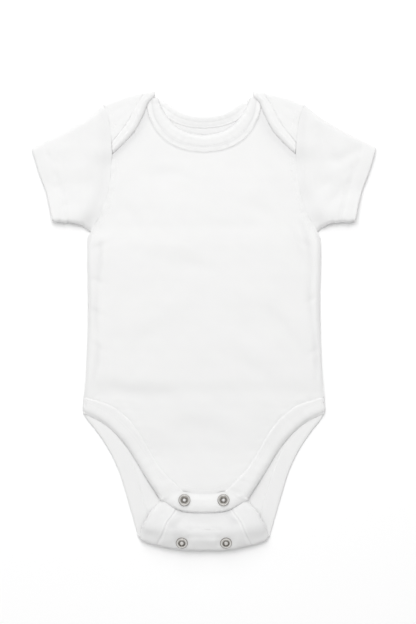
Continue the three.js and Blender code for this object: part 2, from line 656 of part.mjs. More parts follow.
/** The socket: a flange, a collar and a floor. */
const socketLoop = (height) => [
  [0, 0], [R * 0.94, 0], [R, 0.25], [R * 0.94, 0.5], [R * 0.72, 0.45], [R * 0.66, height * 0.9],
  [R * 0.6, height], [R * 0.53, height * 0.85], [R * 0.5, 0.4], [0, 0.35],
];
/** The stud under the tab, z down from the cloth. */
const studLoop = [
  [0, -1.0], [R * 0.36, -0.95], [R * 0.4, -0.7], [R * 0.34, -0.3], [R * 0.9, -0.3], [R * 0.9, 0],
  [0, 0],
];

/** The ring that grips a socket from the other face, z down from the cloth. */
const backRingLoop = [
  [R * 0.9, -0.7], [R * 0.9, 0], [R * 0.4, 0], [R * 0.4, -0.7], [R * 0.9, -0.7],
];

const CLOTH = { color: 0xf6f6f4, roughness: 0.9, metalness: 0 };
const METAL = { color: 0xa8a8a6, roughness: 0.3, metalness: 1 };

const bodysuit = new THREE.Group();
function add(name, geometry, finish) {
  const mesh = new THREE.Mesh(geometry, new THREE.MeshStandardMaterial(finish));
  mesh.name = name;
  bodysuit.add(mesh);
  return mesh;
}

/** Seats a snap's piece on a surface at x and y, away from its middle by the given distance. */
function seat(name, loop, surface, x, y, distance) {
  const step = 3;
  const middle = surface(x, y);
  const overX = new THREE.Vector3().subVectors(surface(x + step, y), surface(x - step, y));
  const overY = new THREE.Vector3().subVectors(surface(x, y + step), surface(x, y - step));
  const normal = new THREE.Vector3().crossVectors(overX, overY).normalize();
  const mesh = add(name, turned(loop), METAL);
  mesh.position.copy(middle).addScaledVector(normal, distance);
  mesh.quaternion.setFromUnitVectors(new THREE.Vector3(0, 0, 1), normal);
}

add('back_panel', backPanel(), CLOTH);
add('front_panel', frontPanel(), CLOTH);
add('sleeve_right', sleeve(1), CLOTH);
add('sleeve_left', sleeve(-1), CLOTH);
add('neck_binding_back', backNeckStrip(), CLOTH);
add('neck_binding_front', frontNeckStrip(), CLOTH);
add('leg_binding_right', legStrip(1), CLOTH);
add('leg_binding_left', legStrip(-1), CLOTH);
add('front_tab', frontTab(), CLOTH);

const onTab = (x, y) => new THREE.Vector3(x, y, tabHeight(x, y));
for (const [hand, sign] of [['right', 1], ['left', -1]]) {
  const { fastened, spare } = SNAP_ROWS;
  seat(`snap_ring_${hand}`, ringLoop, onTab, sign * fastened.x, fastened.y, STRIP / 2 + SEAT_GAP);
  seat(`snap_stud_${hand}`, studLoop, onTab, sign * fastened.x, fastened.y, -STRIP / 2 - SEAT_GAP);
  seat(`socket_under_tab_${hand}`, socketLoop(1.0), onFold, sign * fastened.x, fastened.y,
    WALL / 2 + SEAT_GAP);
  seat(`socket_spare_${hand}`, socketLoop(1.5), onFold, sign * spare.x, spare.y, WALL / 2 + SEAT_GAP);
  seat(`back_ring_under_tab_${hand}`, backRingLoop, onFold, sign * fastened.x, fastened.y,
    -WALL / 2 - SEAT_GAP);
  seat(`back_ring_spare_${hand}`, backRingLoop, onFold, sign * spare.x, spare.y, -WALL / 2 - SEAT_GAP);
}

export default bodysuit;
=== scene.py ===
"""Baby bodysuit of white cotton knit, laid flat on its back, its crotch end folded up over the front.

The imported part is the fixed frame. Each sewn piece is a class that holds its own sizes and builds
its own mesh. Sizes are millimetres until a mesh is made, and metres in the mesh.
"""

import logging
import math
from dataclasses import dataclass, field
from enum import Enum

import bmesh
import bpy
import numpy as np
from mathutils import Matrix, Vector


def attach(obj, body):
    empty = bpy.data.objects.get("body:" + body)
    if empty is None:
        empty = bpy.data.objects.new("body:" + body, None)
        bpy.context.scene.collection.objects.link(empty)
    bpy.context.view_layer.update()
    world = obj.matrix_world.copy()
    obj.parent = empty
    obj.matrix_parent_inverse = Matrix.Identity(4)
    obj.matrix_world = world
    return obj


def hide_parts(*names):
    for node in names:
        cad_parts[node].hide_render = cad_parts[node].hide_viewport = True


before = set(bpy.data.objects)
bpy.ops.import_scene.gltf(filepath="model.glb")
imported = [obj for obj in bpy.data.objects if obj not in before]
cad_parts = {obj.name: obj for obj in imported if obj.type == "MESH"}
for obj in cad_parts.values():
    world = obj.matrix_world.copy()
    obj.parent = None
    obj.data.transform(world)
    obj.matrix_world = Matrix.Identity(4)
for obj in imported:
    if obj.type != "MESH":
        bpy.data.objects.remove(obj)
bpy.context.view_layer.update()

logging.basicConfig(level=logging.INFO, format="%(message)s")
log = logging.getLogger("bodysuit")

MM = 0.001
UV_NAME = "Cloth"
THICK_GROUP = "thickness"
PAINTED_SHADE_LAYER = "painted_shade"  # painted shade: how far a place's colour is darkened to stand in for the shade in a seam's or an edge's hollow, from 0 to 1
RIM_ANGLE = math.radians(58)  # a fold sharper than this is a cut rim


# ---- Curves and soft steps ----
def smooth(t: np.ndarray) -> np.ndarray:
    """A soft step from 0 to 1."""
    t = np.clip(t, 0.0, 1.0)
    return t * t * (3.0 - 2.0 * t)


def lerp(a: np.ndarray, b: np.ndarray, t: np.ndarray) -> np.ndarray:
    """The value a share t of the way from a to b."""
    return a + (b - a) * t


def bell(distance: np.ndarray, half: float) -> np.ndarray:
    """A soft hump that is 1 at no distance and about a third at half."""
    return np.exp(-((distance / half) ** 2))


def reach_of(points: np.ndarray) -> np.ndarray:
    """The distance along a line to each of its points."""
    return np.concatenate([[0.0], np.cumsum(np.linalg.norm(np.diff(points, axis=0), axis=1))])


class Line:
    """A smooth line through a few places."""

    STEPS = 40

    def __init__(self, places: list) -> None:
        """Runs a centripetal spline through the places.

        Args:
            places: rows of coordinates.
        """
        knots = np.array(places, dtype=float)
        ends = np.vstack([2 * knots[0] - knots[1], knots, 2 * knots[-1] - knots[-2]])
        runs = []
        t = np.linspace(0, 1, self.STEPS, endpoint=False)[:, None]
        for a, b, c, d in zip(ends, ends[1:], ends[2:], ends[3:]):
            before, here, after = (math.sqrt(np.linalg.norm(q - p)) for p, q in ((a, b), (b, c), (c, d)))
            leave = ((b - a) / before - (c - a) / (before + here) + (c - b) / here) * here
            arrive = ((c - b) / here - (d - b) / (here + after) + (d - c) / after) * here
            runs.append(
                (2 * t**3 - 3 * t**2 + 1) * b
                + (t**3 - 2 * t**2 + t) * leave
                + (3 * t**2 - 2 * t**3) * c
                + (t**3 - t**2) * arrive
            )
        self.points = np.vstack([*runs, knots[-1:]])
        self.lengths = reach_of(self.points)

    @property
    def length(self) -> float:
        """Its length."""
        return float(self.lengths[-1])

    def at(self, shares: np.ndarray) -> np.ndarray:
        """The places at these shares of its length."""
        reach = np.asarray(shares, dtype=float) * self.length
        return np.stack([np.interp(reach, self.lengths, c) for c in self.points.T], axis=-1)

    def evenly(self, count: int) -> np.ndarray:
        """This many places, evenly spaced from its start to its end."""
        return self.at(np.linspace(0, 1, count))

    def distance(self, x: np.ndarray, y: np.ndarray, count: int = 40) -> np.ndarray:
        """How far each place is from the line or from its mirror image."""
        return distance_to(self.evenly(count), x, y)

    def read(self, value: np.ndarray, given: int = 0, wanted: int = 1) -> np.ndarray:
        """One coordinate where another has the given value."""
        order = np.argsort(self.points[:, given], kind="stable")
        return np.interp(value, self.points[order, given], self.points[order, wanted])


def offset(points: np.ndarray, amount: float) -> np.ndarray:
    """A line moved sideways in plan, to its left if the amount is positive.

    Args:
        points: places along the line.
        amount: how far.

    Returns:
        The moved line.
    """
    run = np.empty_like(points)
    run[1:-1] = points[2:] - points[:-2]
    run[0] = points[1] - points[0]
    run[-1] = points[-1] - points[-2]
    run /= np.linalg.norm(run, axis=1, keepdims=True)
    return points + amount * np.column_stack([-run[:, 1], run[:, 0]])


def spread(inner: np.ndarray, outer: np.ndarray, w: np.ndarray) -> np.ndarray:
    """Rows of places from one line across to another, at the shares w."""
    return inner[:, None] + (outer - inner)[:, None] * w[None, :, None]


def distance_to(line: np.ndarray, x: np.ndarray, y: np.ndarray) -> np.ndarray:
    """How far each place is from a line of close points or from its mirror image.

    Args:
        line: close points on the right half.
        x, y: places.

    Returns:
        The distances.
    """
    flat = np.column_stack([np.abs(x).ravel(), y.ravel()])
    best = np.full(len(flat), np.inf)
    for a, b in zip(line, line[1:]):
        run = b - a
        t = np.clip(((flat - a) @ run) / (run @ run), 0, 1)
        best = np.minimum(best, np.linalg.norm(flat - a - t[:, None] * run, axis=1))
    return best.reshape(x.shape)


def waves(x: np.ndarray, y: np.ndarray, size: float, seed: int, count: int = 9) -> np.ndarray:
    """Uneven soft waves between about -1 and 1.

    Args:
        x, y: places.
        size: usual distance between crests.
        seed: picks the waves.
        count: how many waves are added up.

    Returns:
        The waves' height at each place.
    """
    rng = np.random.default_rng(seed)
    total = 0.0
    for _ in range(count):
        angle, phase = rng.uniform(0, 2 * math.pi, 2)
        scale = 2 * math.pi / (size * rng.uniform(0.7, 1.5))
        total = total + np.sin(scale * (x * math.cos(angle) + y * math.sin(angle)) + phase)
    return total / math.sqrt(count)


@dataclass(frozen=True)
class Ripple:
    """Uneven soft waves in cloth: their height, the usual distance between crests, and which ones."""

    height: float
    size: float
    seed: int
    count: int = 9

    def at(self, x: np.ndarray, y: np.ndarray) -> np.ndarray:
        """How much they lift the cloth at each place."""
        return self.height * waves(x, y, self.size, self.seed, self.count)


# ---- The cut, right half ----
SIDE = Line([(109.3, -68.9), (107.0, -50), (105.2, 10), (105.7, 55), (105.6, 75)])
ARMHOLE = Line([
    (105.6, 75), (100.3, 86.6), (94.3, 96), (90.2, 107), (86.3, 122),
    (83.7, 148), (84.1, 167), (86.6, 184), (90.0, 194),
])
SHOULDER_TOP = Line([(44.6, 206.6), (50, 208.2), (66, 205.6), (90.5, 196.8)])
SLEEVE_TOP = Line([(90.9, 196.2), (103.0, 186.4), (121.2, 175.2), (155.6, 157.4)])
CUFF = Line([(155.6, 157.4), (149.7, 137.4), (141.8, 115.6), (136.2, 90.6)])
SLEEVE_UNDER = Line([(105.6, 75), (110.6, 80.4), (115.6, 84.6), (136.2, 90.6)])
BODY_EDGE = Line([(109.3, -68.9), (105.2, 10), (105.6, 75), (100.3, 86.6), (94.3, 96), (94.0, 120)])


@dataclass(frozen=True)
class StripCut:
    """A binding strip's two edges, each a list of places: the seam and the rolled edge."""

    seam: tuple
    rolled: tuple

    def places(self, count: int, gap: float, w: np.ndarray) -> np.ndarray:
        """Rows of plan places across the strip, with its seam moved sideways by a gap."""
        inner, outer = offset(self.seam_line.evenly(count), gap), self.rolled_line.evenly(count)
        return spread(inner, outer, w)

    @property
    def seam_line(self) -> Line:
        """The seam as a smooth line."""
        return Line(self.seam)

    @property
    def rolled_line(self) -> Line:
        """The rolled edge as a smooth line."""
        return Line(self.rolled)


FRONT_NECK = StripCut(
    seam=((0, 153.1), (17.3, 155.4), (32.5, 162.1), (43.8, 173.6), (50.2, 188.0), (52.6, 202.6)),
    rolled=((0, 168.8), (13.6, 171.2), (25.6, 177.5), (34.4, 187.4), (39.4, 196.4), (41.6, 202.9)),
)
BACK_NECK = StripCut(
    seam=((0, 174.8), (14.6, 176.2), (27.2, 180.4), (39.0, 188.0), (55.5, 205.0)),
    rolled=((0, 186.1), (12.6, 187.5), (22.7, 191.2), (32.0, 197.4), (44.6, 204.1)),
)
FLAP = StripCut(
    seam=((55.5, 205.0), (59.4, 200.2), (63.6, 192.4), (70.4, 179.4), (77.6, 169.8), (83.5, 162.6)),
    rolled=((44.6, 204.1), (50.0, 198.6), (54.2, 189.2), (61.9, 173.8), (71.6, 162.4), (83.2, 151.6)),
)
FRONT_LEG = StripCut(
    seam=((19.6, -154.2), (29.6, -144.6), (39.6, -134.2), (49.2, -118.8), (58.6, -102.6),
          (69.6, -88.4), (84.2, -77.2), (109.3, -68.9)),
    rolled=((40.6, -161.2), (47.0, -151.0), (53.4, -141.0), (61.4, -128.2), (70.4, -114.4),
            (80.4, -103.0), (92.4, -92.6), (110.2, -83.6)),
)
BACK_LEG = StripCut(
    seam=((109.3, -68.9), (97.0, -80.2), (88.0, -90.6), (74.2, -110.3), (64.7, -130.7),
          (58.3, -150.0), (52.6, -171.0), (47.5, -197.7)),
    rolled=((110.2, -83.6), (105.0, -91.4), (98.6, -99.2), (86.7, -117), (77.8, -135.6),
            (71.9, -154), (66.4, -173), (60.6, -193.1)),
)
# The folded-up end, by the distance round the fold from where it leaves the surface.
FOLD_INNER = Line([
    (0, 47.5), (8, 43.4), (16, 40.0), (25, 36.6), (34, 33.4), (43, 27.6), (52, 24.2), (66, 24.0),
])
FOLD_OUTER = Line([
    (0, 60.6), (8, 59.4), (16, 57.8), (25, 55.8), (34, 52.4), (43, 48.8), (52, 42.8), (66, 36.6),
])
TAB_SEAM = Line([(0, -157.2), (10, -156.4), (19.2, -154.5), (30.4, -158.0), (40.2, -161.3)])
TAB_EDGE = Line([(0, -174.2), (11.5, -173.8), (22.5, -171.6), (31.4, -167.2), (40.6, -162.0)])


@dataclass(frozen=True)
class Crease:
    """A soft trough in laid cloth, or a ridge if its depth is negative."""

    start: tuple
    end: tuple
    depth: float
    half: float
    bow: float = 0.0
    lip: float = 0.35

    def rise(self, x: np.ndarray, y: np.ndarray) -> np.ndarray:
        """How much it lifts the cloth at each place.

        Args:
            x, y: places on the cloth.

        Returns:
            The lift, which is negative in a trough.
        """
        a, b = np.array(self.start, float), np.array(self.end, float)
        run = b - a
        long = np.linalg.norm(run)
        run /= long
        s = ((x - a[0]) * run[0] + (y - a[1]) * run[1]) / long
        inside = np.clip(s, 0, 1)
        off = (y - a[1]) * run[0] - (x - a[0]) * run[1] - self.bow * 4 * inside * (1 - inside)
        past = np.maximum(np.abs(s - 0.5) - 0.5, 0) * long
        fade = np.sin(math.pi * np.clip(0.12 + 0.76 * inside, 0, 1)) * bell(past, self.half)
        return -self.depth * fade * (bell(off, self.half) - self.lip * bell(off - 1.7 * self.half, self.half))


@dataclass(frozen=True)
class Lay:
    """How high each layer's middle lies, and the forms that all the pieces share.

    Attributes:
        wall, strip: thickness of one layer and of a folded strip.
        seam: gap left between two pieces that meet.
        rest, bound, front, flap: middle height of the back, its strips, the front and the flaps.
        flap_step: how far a flap lies above the front at its lower end.
        crown: how far the front's middle stands above its edges.
        side_drop, side_puff, side_roll: the front's fall at its side, its swell there, and its roll's width.
        fold_end, nose: y where the crotch fold's end lies and where the fold's bottom lies.
        fold_spread, fold_half: how much higher the fold's bottom lies at its ends, and their x.
        tab, tab_top, tab_slope: the tab's height at its top, that top's y, and its slope.
        tab_climb: how far the front climbs onto the folded-up end.
        tab_end_drop: how far the tab falls towards its ends.
        creases: soft creases in the front.
    """

    wall: float = 1.0
    strip: float = 2.0
    seam: float = 0.03
    rest: float = 0.5
    bound: float = 1.0
    front: float = 3.4
    flap_step: float = 2.1
    flap: float = 6.0
    crown: float = 1.5
    side_drop: float = 1.75
    side_puff: float = 0.7
    side_roll: float = 6.5
    fold_end: float = -150.2
    nose: float = -208.2
    fold_spread: float = 9.5
    fold_half: float = 56.3
    tab: float = 7.4
    tab_top: float = -155.0
    tab_slope: float = 0.148
    tab_climb: float = 3.4
    tab_end_drop: float = 2.5
    creases: tuple = (
        Crease((89, 88), (98, 44), 0.9, 3.0, 2.0),
        Crease((97, 40), (99, -4), 0.75, 2.8, -1.5),
        Crease((99, -8), (102, -54), 0.85, 2.8, 1.5),
        Crease((78, 84), (91, 52), 0.6, 4.0, 2.0),
        Crease((100, 66), (88, 74), 0.5, 2.6),
        Crease((103, 22), (92, 17), 0.35, 2.4),
        Crease((104, -24), (94, -31), 0.35, 2.4),
        Crease((-94, 74), (-97, 30), 0.75, 2.6, 1.5),
        Crease((-97, 26), (-96, -14), 0.65, 2.6, -1.5),
        Crease((-96, -18), (-100, -54), 0.7, 2.6, 1.5),
        Crease((-102, 66), (-86, 72), 0.5, 2.8),
        Crease((-104, 40), (-90, 34), 0.4, 2.6),
        Crease((-104, 12), (-91, 4), 0.4, 2.6),
        Crease((-103, -18), (-90, -27), 0.35, 2.6),
        Crease((-49, 132), (-14, 131), 0.35, 5.0, 2.0),
        Crease((-44, 58), (15, 41), 0.5, 7.0, 3.0),
        Crease((51, 14), (88, -27), 0.55, 7.0, 3.0),
        Crease((-94, -58), (-30, -67), 0.6, 7.0, -3.0),
        Crease((20, -30), (62, -58), 0.35, 8.0, 4.0),
        Crease((-70, -20), (-30, 6), 0.35, 8.0, -3.0),
        Crease((-28, -96), (26, -104), 0.45, 8.0, 4.0),
        Crease((34, 108), (70, 92), 0.35, 7.0, 2.0),
        Crease((-76, 112), (-58, 78), 0.4, 6.0, 2.0),
        Crease((-12, 96), (34, 84), 0.25, 8.0, -2.0),
    )

    def back_height(self, y: np.ndarray) -> np.ndarray:
        """The back's middle, a little higher beside the thicker strips."""
        near = smooth((-58 - y) / 12) + smooth((y - 166) / 8)
        return self.rest + (self.bound - self.rest) * near

    def fallen(self, x: np.ndarray, y: np.ndarray) -> np.ndarray:
        """How the creases lift the front, each trough below nothing."""
        inset = np.maximum(BODY_EDGE.read(y, 1, 0) - np.abs(x), 0)
        return sum(c.rise(x, y) for c in self.creases) * smooth(inset / 5)

    def front_form(self, x: np.ndarray, y: np.ndarray) -> np.ndarray:
        """The front's middle without its fine relief.

        Args:
            x, y: places.

        Returns:
            The heights.
        """
        side = BODY_EDGE.read(y, 1, 0)
        inset = np.maximum(side - np.abs(x), 0)
        roll = 1 - np.sqrt(1 - np.maximum(1 - inset / self.side_roll, 0) ** 2)
        beside = smooth((y + 66) / 14) * smooth((88 - y) / 20)
        middle = smooth(inset / 60) * smooth((158 - y) / 70) * smooth((y + 150) / 60)
        rise = self.tab_climb * smooth((-112 - y) / 44) * (1 - 0.25 * smooth((np.abs(x) - 34) / 14))
        side_form = (self.side_puff - (self.side_drop + self.side_puff) * roll) * beside
        return self.front + side_form + self.crown * middle + rise + self.fallen(x, y)

    def flap_height(self, x: np.ndarray, y: np.ndarray) -> np.ndarray:
        """A shoulder flap's middle, lying on the front and its neck strip."""
        return self.front_form(x, y) + lerp(self.flap_step, self.flap - self.front, smooth((y - 150) / 50))

    def tab_height(self, x: np.ndarray, y: np.ndarray) -> np.ndarray:
        """The front tab's middle, lying on the folded-up end."""
        end_drop = self.tab_end_drop * smooth((np.abs(x) - 23) / 17)
        return self.tab - self.tab_slope * (y - self.tab_top) - end_drop

    def fold_section(self) -> Line:
        """The crotch fold's section at the middle: y from its bottom, z from the back's wall.

        Returns:
            The section.
        """
        depth, height, nose, tilt, seat, crest = 4.6, 4.8, 2.2, math.radians(20), 11.2, 14.0
        places = [(depth * (1 - math.sin(a)), height * (1 - math.cos(a)))
                  for a in map(math.radians, (0, 35, 65, 90))]
        places += [(nose * (1 - math.cos(a)), height + nose * math.sin(a))
                   for a in map(math.radians, (35, 70))]
        y, z = places[-1]
        places += [(y + seat * s * math.cos(tilt), z + seat * s * math.sin(tilt)) for s in (0.5, 1)]
        y, z = places[-1]
        middle = (y + crest * math.sin(tilt), z - crest * math.cos(tilt))
        places += [(middle[0] - crest * math.sin(a), middle[1] + crest * math.cos(a))
                   for a in map(math.radians, (6, -6, -18))]
        places += [(29, 8.1), (35, 5.6), (40, 4.2), (51.5, 2.8), (self.fold_end - self.nose, 2.4)]
        return Line(places)

    def fold_frame(self, x: np.ndarray) -> tuple:
        """The fold's bottom, length and height at each x, as shares of the middle's.

        Args:
            x: places across.

        Returns:
            The three values for each place.
        """
        nose = self.nose + self.fold_spread * (np.abs(x) / self.fold_half) ** 2.3
        return nose, (self.fold_end - nose) / (self.fold_end - self.nose), (
            1 - 0.36 * smooth((np.abs(x) - 28) / 32))

    def fold_point(self, x: np.ndarray, along: float) -> np.ndarray:
        """Places on the folded-up end, by x and the distance round the fold.

        Args:
            x: places across.
            along: distance round the fold from where it leaves the surface.

        Returns:
            The places.
        """
        y, z = SECTION.at(along / SECTION.length)
        nose, shorter, lower = self.fold_frame(x)
        return np.stack([x, nose + shorter * y, self.bound + lower * z], axis=-1)

    def on_fold(self, x: float, y: float) -> float:
        """The fold's height on its upper side.

        Args:
            x, y: places.

        Returns:
            The height.
        """
        upper = SECTION.points[SECTION.lengths > 9.5]
        nose, shorter, lower = self.fold_frame(np.array(x))
        return float(self.bound + lower * np.interp((y - nose) / shorter, upper[:, 0], upper[:, 1]))


LAY = Lay()
SECTION = LAY.fold_section()
ARM_LINE = ARMHOLE.evenly(60)


# ---- Finishes ----
def group_socket(tree: bpy.types.NodeTree, name: str, kind: str, way: str, value: float = 0.0) -> None:
    """Adds a named input or output to a node group.

    Args:
        tree: the group.
        name: the socket's name.
        kind: Float, Vector or Color.
        way: INPUT or OUTPUT.
        value: a float input's usual value.
    """
    socket = tree.interface.new_socket(name=name, in_out=way, socket_type=f"NodeSocket{kind}")
    if kind == "Float" and way == "INPUT":
        socket.default_value = value


def knit_group() -> bpy.types.NodeTree:
    """The knit's relief and its slight unevenness, in the cloth's own map.

    Returns:
        A group that puts out Height, Shade, which is the knit's random unevenness of tone, and the painted
        shade that the mesh holds.
    """
    tree = bpy.data.node_groups.new("fine rib knit", "ShaderNodeTree")
    group_socket(tree, "Rib pitch mm", "Float", "INPUT", 0.9)
    group_socket(tree, "Height", "Float", "OUTPUT")
    group_socket(tree, "Shade", "Float", "OUTPUT")
    group_socket(tree, "Painted shade", "Float", "OUTPUT")
    nodes, links = tree.nodes, tree.links
    given, out = nodes.new("NodeGroupInput"), nodes.new("NodeGroupOutput")
    uv = nodes.new("ShaderNodeUVMap")
    uv.uv_map = UV_NAME
    split = nodes.new("ShaderNodeSeparateXYZ")
    links.new(uv.outputs["UV"], split.inputs[0])

    def math_node(kind: str, a: object, b: object = None) -> bpy.types.NodeSocket:
        """One Math node on two sockets or numbers.

        Args:
            kind: the operation.
            a, b: sockets or numbers.

        Returns:
            The node's result.
        """
        node = nodes.new("ShaderNodeMath")
        node.operation = kind
        for slot, value in enumerate((a, b)):
            if isinstance(value, bpy.types.NodeSocket):
                links.new(value, node.inputs[slot])
            elif value is not None:
                node.inputs[slot].default_value = value
        return node.outputs[0]

    turns = math_node("DIVIDE", 2 * math.pi * 1000, given.outputs["Rib pitch mm"])
    across = math_node("SINE", math_node("MULTIPLY", split.outputs["X"], turns))
    length = math_node("SINE", math_node("MULTIPLY", split.outputs["Y"], turns))
    loops = math_node("MULTIPLY", across, math_node("MULTIPLY_ADD", length, 0.25))
    fuzz = nodes.new("ShaderNodeTexNoise")
    fuzz.inputs["Scale"].default_value = 700
    fuzz.inputs["Detail"].default_value = 3
    links.new(uv.outputs["UV"], fuzz.inputs["Vector"])
    links.new(math_node("ADD", loops, fuzz.outputs["Fac"]), out.inputs["Height"])
    cloud = nodes.new("ShaderNodeTexNoise")
    cloud.inputs["Scale"].default_value = 45
    cloud.inputs["Detail"].default_value = 4
    links.new(uv.outputs["UV"], cloud.inputs["Vector"])
    links.new(cloud.outputs["Fac"], out.inputs["Shade"])
    # Painted shade, read from the mesh: darkening that stands in for the shade in seams and hollows.
    painted_dark = nodes.new("ShaderNodeAttribute")
    painted_dark.attribute_name = PAINTED_SHADE_LAYER
    links.new(painted_dark.outputs["Fac"], out.inputs["Painted shade"])
    return tree


def blank_material(name: str) -> tuple:
    """A new material, with its shader, its nodes and its links.

    Args:
        name: the object's name.

    Returns:
        The material, its shader, its nodes and its links.
    """
    material = bpy.data.materials.new(name)
    material.use_nodes = True
    nodes = material.node_tree.nodes
    return material, nodes["Principled BSDF"], nodes, material.node_tree.links


@dataclass(frozen=True)
class KnitFinish:
    """Matte white cotton knit.

    Attributes:
        light, dark: the cloth's colours between which it is uneven.
        painted_dark: what they are multiplied by where painted shade stands in for the shade in seams and
            hollows.
        rib_pitch: distance between ribs.
        relief, roughness, sheen: strength of the ribs, and how the surface takes light.
    """

    name: str
    light: tuple = (0.795, 0.795, 0.792, 1)
    dark: tuple = (0.77, 0.77, 0.768, 1)
    painted_dark: tuple = (0.84, 0.84, 0.845, 1)
    rib_pitch: float = 0.9
    relief: float = 0.12
    roughness: float = 0.92
    sheen: float = 0.3

    def make(self, knit: bpy.types.NodeTree) -> bpy.types.Material:
        """Makes the material.

        Args:
            knit: the shared knit group.

        Returns:
            The material.
        """
        material, shader, nodes, links = blank_material(self.name)
        shader.inputs["Roughness"].default_value = self.roughness
        shader.inputs["Sheen Weight"].default_value = self.sheen
        shader.inputs["Sheen Roughness"].default_value = 0.5
        shader.inputs["Specular IOR Level"].default_value = 0.2
        weave = nodes.new("ShaderNodeGroup")
        weave.node_tree = knit
        weave.inputs["Rib pitch mm"].default_value = self.rib_pitch
        ramp = nodes.new("ShaderNodeMix")
        ramp.data_type = "RGBA"
        ramp.inputs[6].default_value = self.dark
        ramp.inputs[7].default_value = self.light
        links.new(weave.outputs["Shade"], ramp.inputs[0])
        # Painted shade: the base colour darkens where the mesh's painted shade layer says.
        dim = nodes.new("ShaderNodeMix")
        dim.data_type, dim.blend_type = "RGBA", "MULTIPLY"
        dim.inputs[7].default_value = self.painted_dark
        links.new(weave.outputs["Painted shade"], dim.inputs[0])
        links.new(ramp.outputs[2], dim.inputs[6])
        links.new(dim.outputs[2], shader.inputs["Base Color"])
        bump = nodes.new("ShaderNodeBump")
        bump.inputs["Strength"].default_value = self.relief
        bump.inputs["Distance"].default_value = 0.15 * MM
        links.new(weave.outputs["Height"], bump.inputs["Height"])
        links.new(bump.outputs["Normal"], shader.inputs["Normal"])
        return material


@dataclass(frozen=True)
class MetalFinish:
    """Nickel-plated pressed metal with painted reflections: half-matte bright bands that the lamps light, and
    dark glossy bands painted where dark reflections and shade would be.

    Attributes:
        color, painted_dark: its colour on the painted bright bands and on the painted dark bands.
        bright_band_metallic: how metallic the painted bright bands are, where 1 is bare metal.
        smoothest, roughest: its roughness, which varies between them.
    """

    name: str = "nickel plate"
    color: tuple = (0.88, 0.865, 0.84, 1)
    painted_dark: tuple = (0.3, 0.28, 0.255, 1)
    bright_band_metallic: float = 0.5
    smoothest: float = 0.16
    roughest: float = 0.26

    def make(self) -> bpy.types.Material:
        """Makes the material.

        Returns:
            The material.
        """
        material, shader, nodes, links = blank_material(self.name)
        # Painted reflections: the layer darkens the colour and makes it fully metallic in the painted dark
        # bands; the bright bands stay half matte so that the lamps light them.
        painted_reflection, tone = nodes.new("ShaderNodeAttribute"), nodes.new("ShaderNodeMix")
        painted_reflection.attribute_name = PAINTED_SHADE_LAYER
        tone.data_type = "RGBA"
        tone.inputs[6].default_value = self.color
        tone.inputs[7].default_value = self.painted_dark
        links.new(painted_reflection.outputs["Fac"], tone.inputs[0])
        links.new(tone.outputs[2], shader.inputs["Base Color"])
        painted_metallic = nodes.new("ShaderNodeMapRange")
        painted_metallic.inputs["To Min"].default_value = self.bright_band_metallic
        links.new(painted_reflection.outputs["Fac"], painted_metallic.inputs["Value"])
        links.new(painted_metallic.outputs["Result"], shader.inputs["Metallic"])
        place, noise = nodes.new("ShaderNodeTexCoord"), nodes.new("ShaderNodeTexNoise")
        noise.inputs["Scale"].default_value = 900
        links.new(place.outputs["Object"], noise.inputs["Vector"])
        spread = nodes.new("ShaderNodeMapRange")
        spread.inputs["To Min"].default_value = self.smoothest
        spread.inputs["To Max"].default_value = self.roughest
        links.new(noise.outputs["Fac"], spread.inputs["Value"])
        links.new(spread.outputs["Result"], shader.inputs["Roughness"])
        return material


@dataclass
class Finishes:
    """The finishes that the pieces share."""

    cloth: bpy.types.Material = field(init=False)
    binding: bpy.types.Material = field(init=False)
    thread: bpy.types.Material = field(init=False)
    metal: bpy.types.Material = field(init=False)

    def __post_init__(self) -> None:
        """Makes each material once."""
        knit = knit_group()
        self.cloth = KnitFinish("white interlock knit").make(knit)
        self.binding = KnitFinish("white binding knit", rib_pitch=1.0, relief=0.16).make(knit)
        self.thread = KnitFinish(
            "white sewing thread", light=(0.84, 0.84, 0.837, 1), dark=(0.78, 0.78, 0.777, 1),
            rib_pitch=0.4, relief=0.1, roughness=0.7, sheen=0.0).make(knit)
        self.metal = MetalFinish().make()


class Slot(Enum):
    """Material slot names, which the pieces are given but which nothing uses."""

    CLOTH = "cloth"
    BINDING = "binding"
    METAL = "snap_metal"


# ---- Meshes ----
def both_sides(half: np.ndarray) -> np.ndarray:
    """A half whose columns run from the middle outwards, with its mirror image on the left.

    Args:
        half: the right half.

    Returns:
        The whole.
    """
    left = half[:, :0:-1].copy()
    left[..., 0] *= -1
    return np.concatenate([left, half], axis=1)


def mirrored(half: np.ndarray) -> np.ndarray:
    """A strip's half, whose rows run from the middle outwards, with its mirror image before it.

    Args:
        half: the right half.

    Returns:
        The whole strip's rows.
    """
    left = half[:0:-1].copy()
    left[..., 0] *= -1
    return np.concatenate([left, half])


def flipped(rows: np.ndarray) -> np.ndarray:
    """Rows mirrored to the left, with their columns turned round so that faces still point up.

    Args:
        rows: rows of places.

    Returns:
        The left rows.
    """
    turned = rows[:, ::-1].copy()
    turned[..., 0] *= -1
    return turned


def normals_of(rows: np.ndarray) -> np.ndarray:
    """Unit normals of a grid of places.

    Args:
        rows: rows of places.

    Returns:
        A normal for each place.
    """
    down, across = np.gradient(rows, axis=0), np.gradient(rows, axis=1)
    normal = np.cross(across, down)
    return normal / np.maximum(np.linalg.norm(normal, axis=-1, keepdims=True), 1e-9)


def upward_normals(rows: np.ndarray) -> np.ndarray:
    """Unit normals of a grid, turned so that those of its first quarter point up."""
    normal = normals_of(rows)
    return normal * np.sign(np.median(normal[: max(len(rows) // 4, 2), :, 2]))


def widths(rows: np.ndarray) -> np.ndarray:
    """The distance from the first to the last place of each row."""
    return np.linalg.norm(rows[:, -1] - rows[:, 0], axis=1)


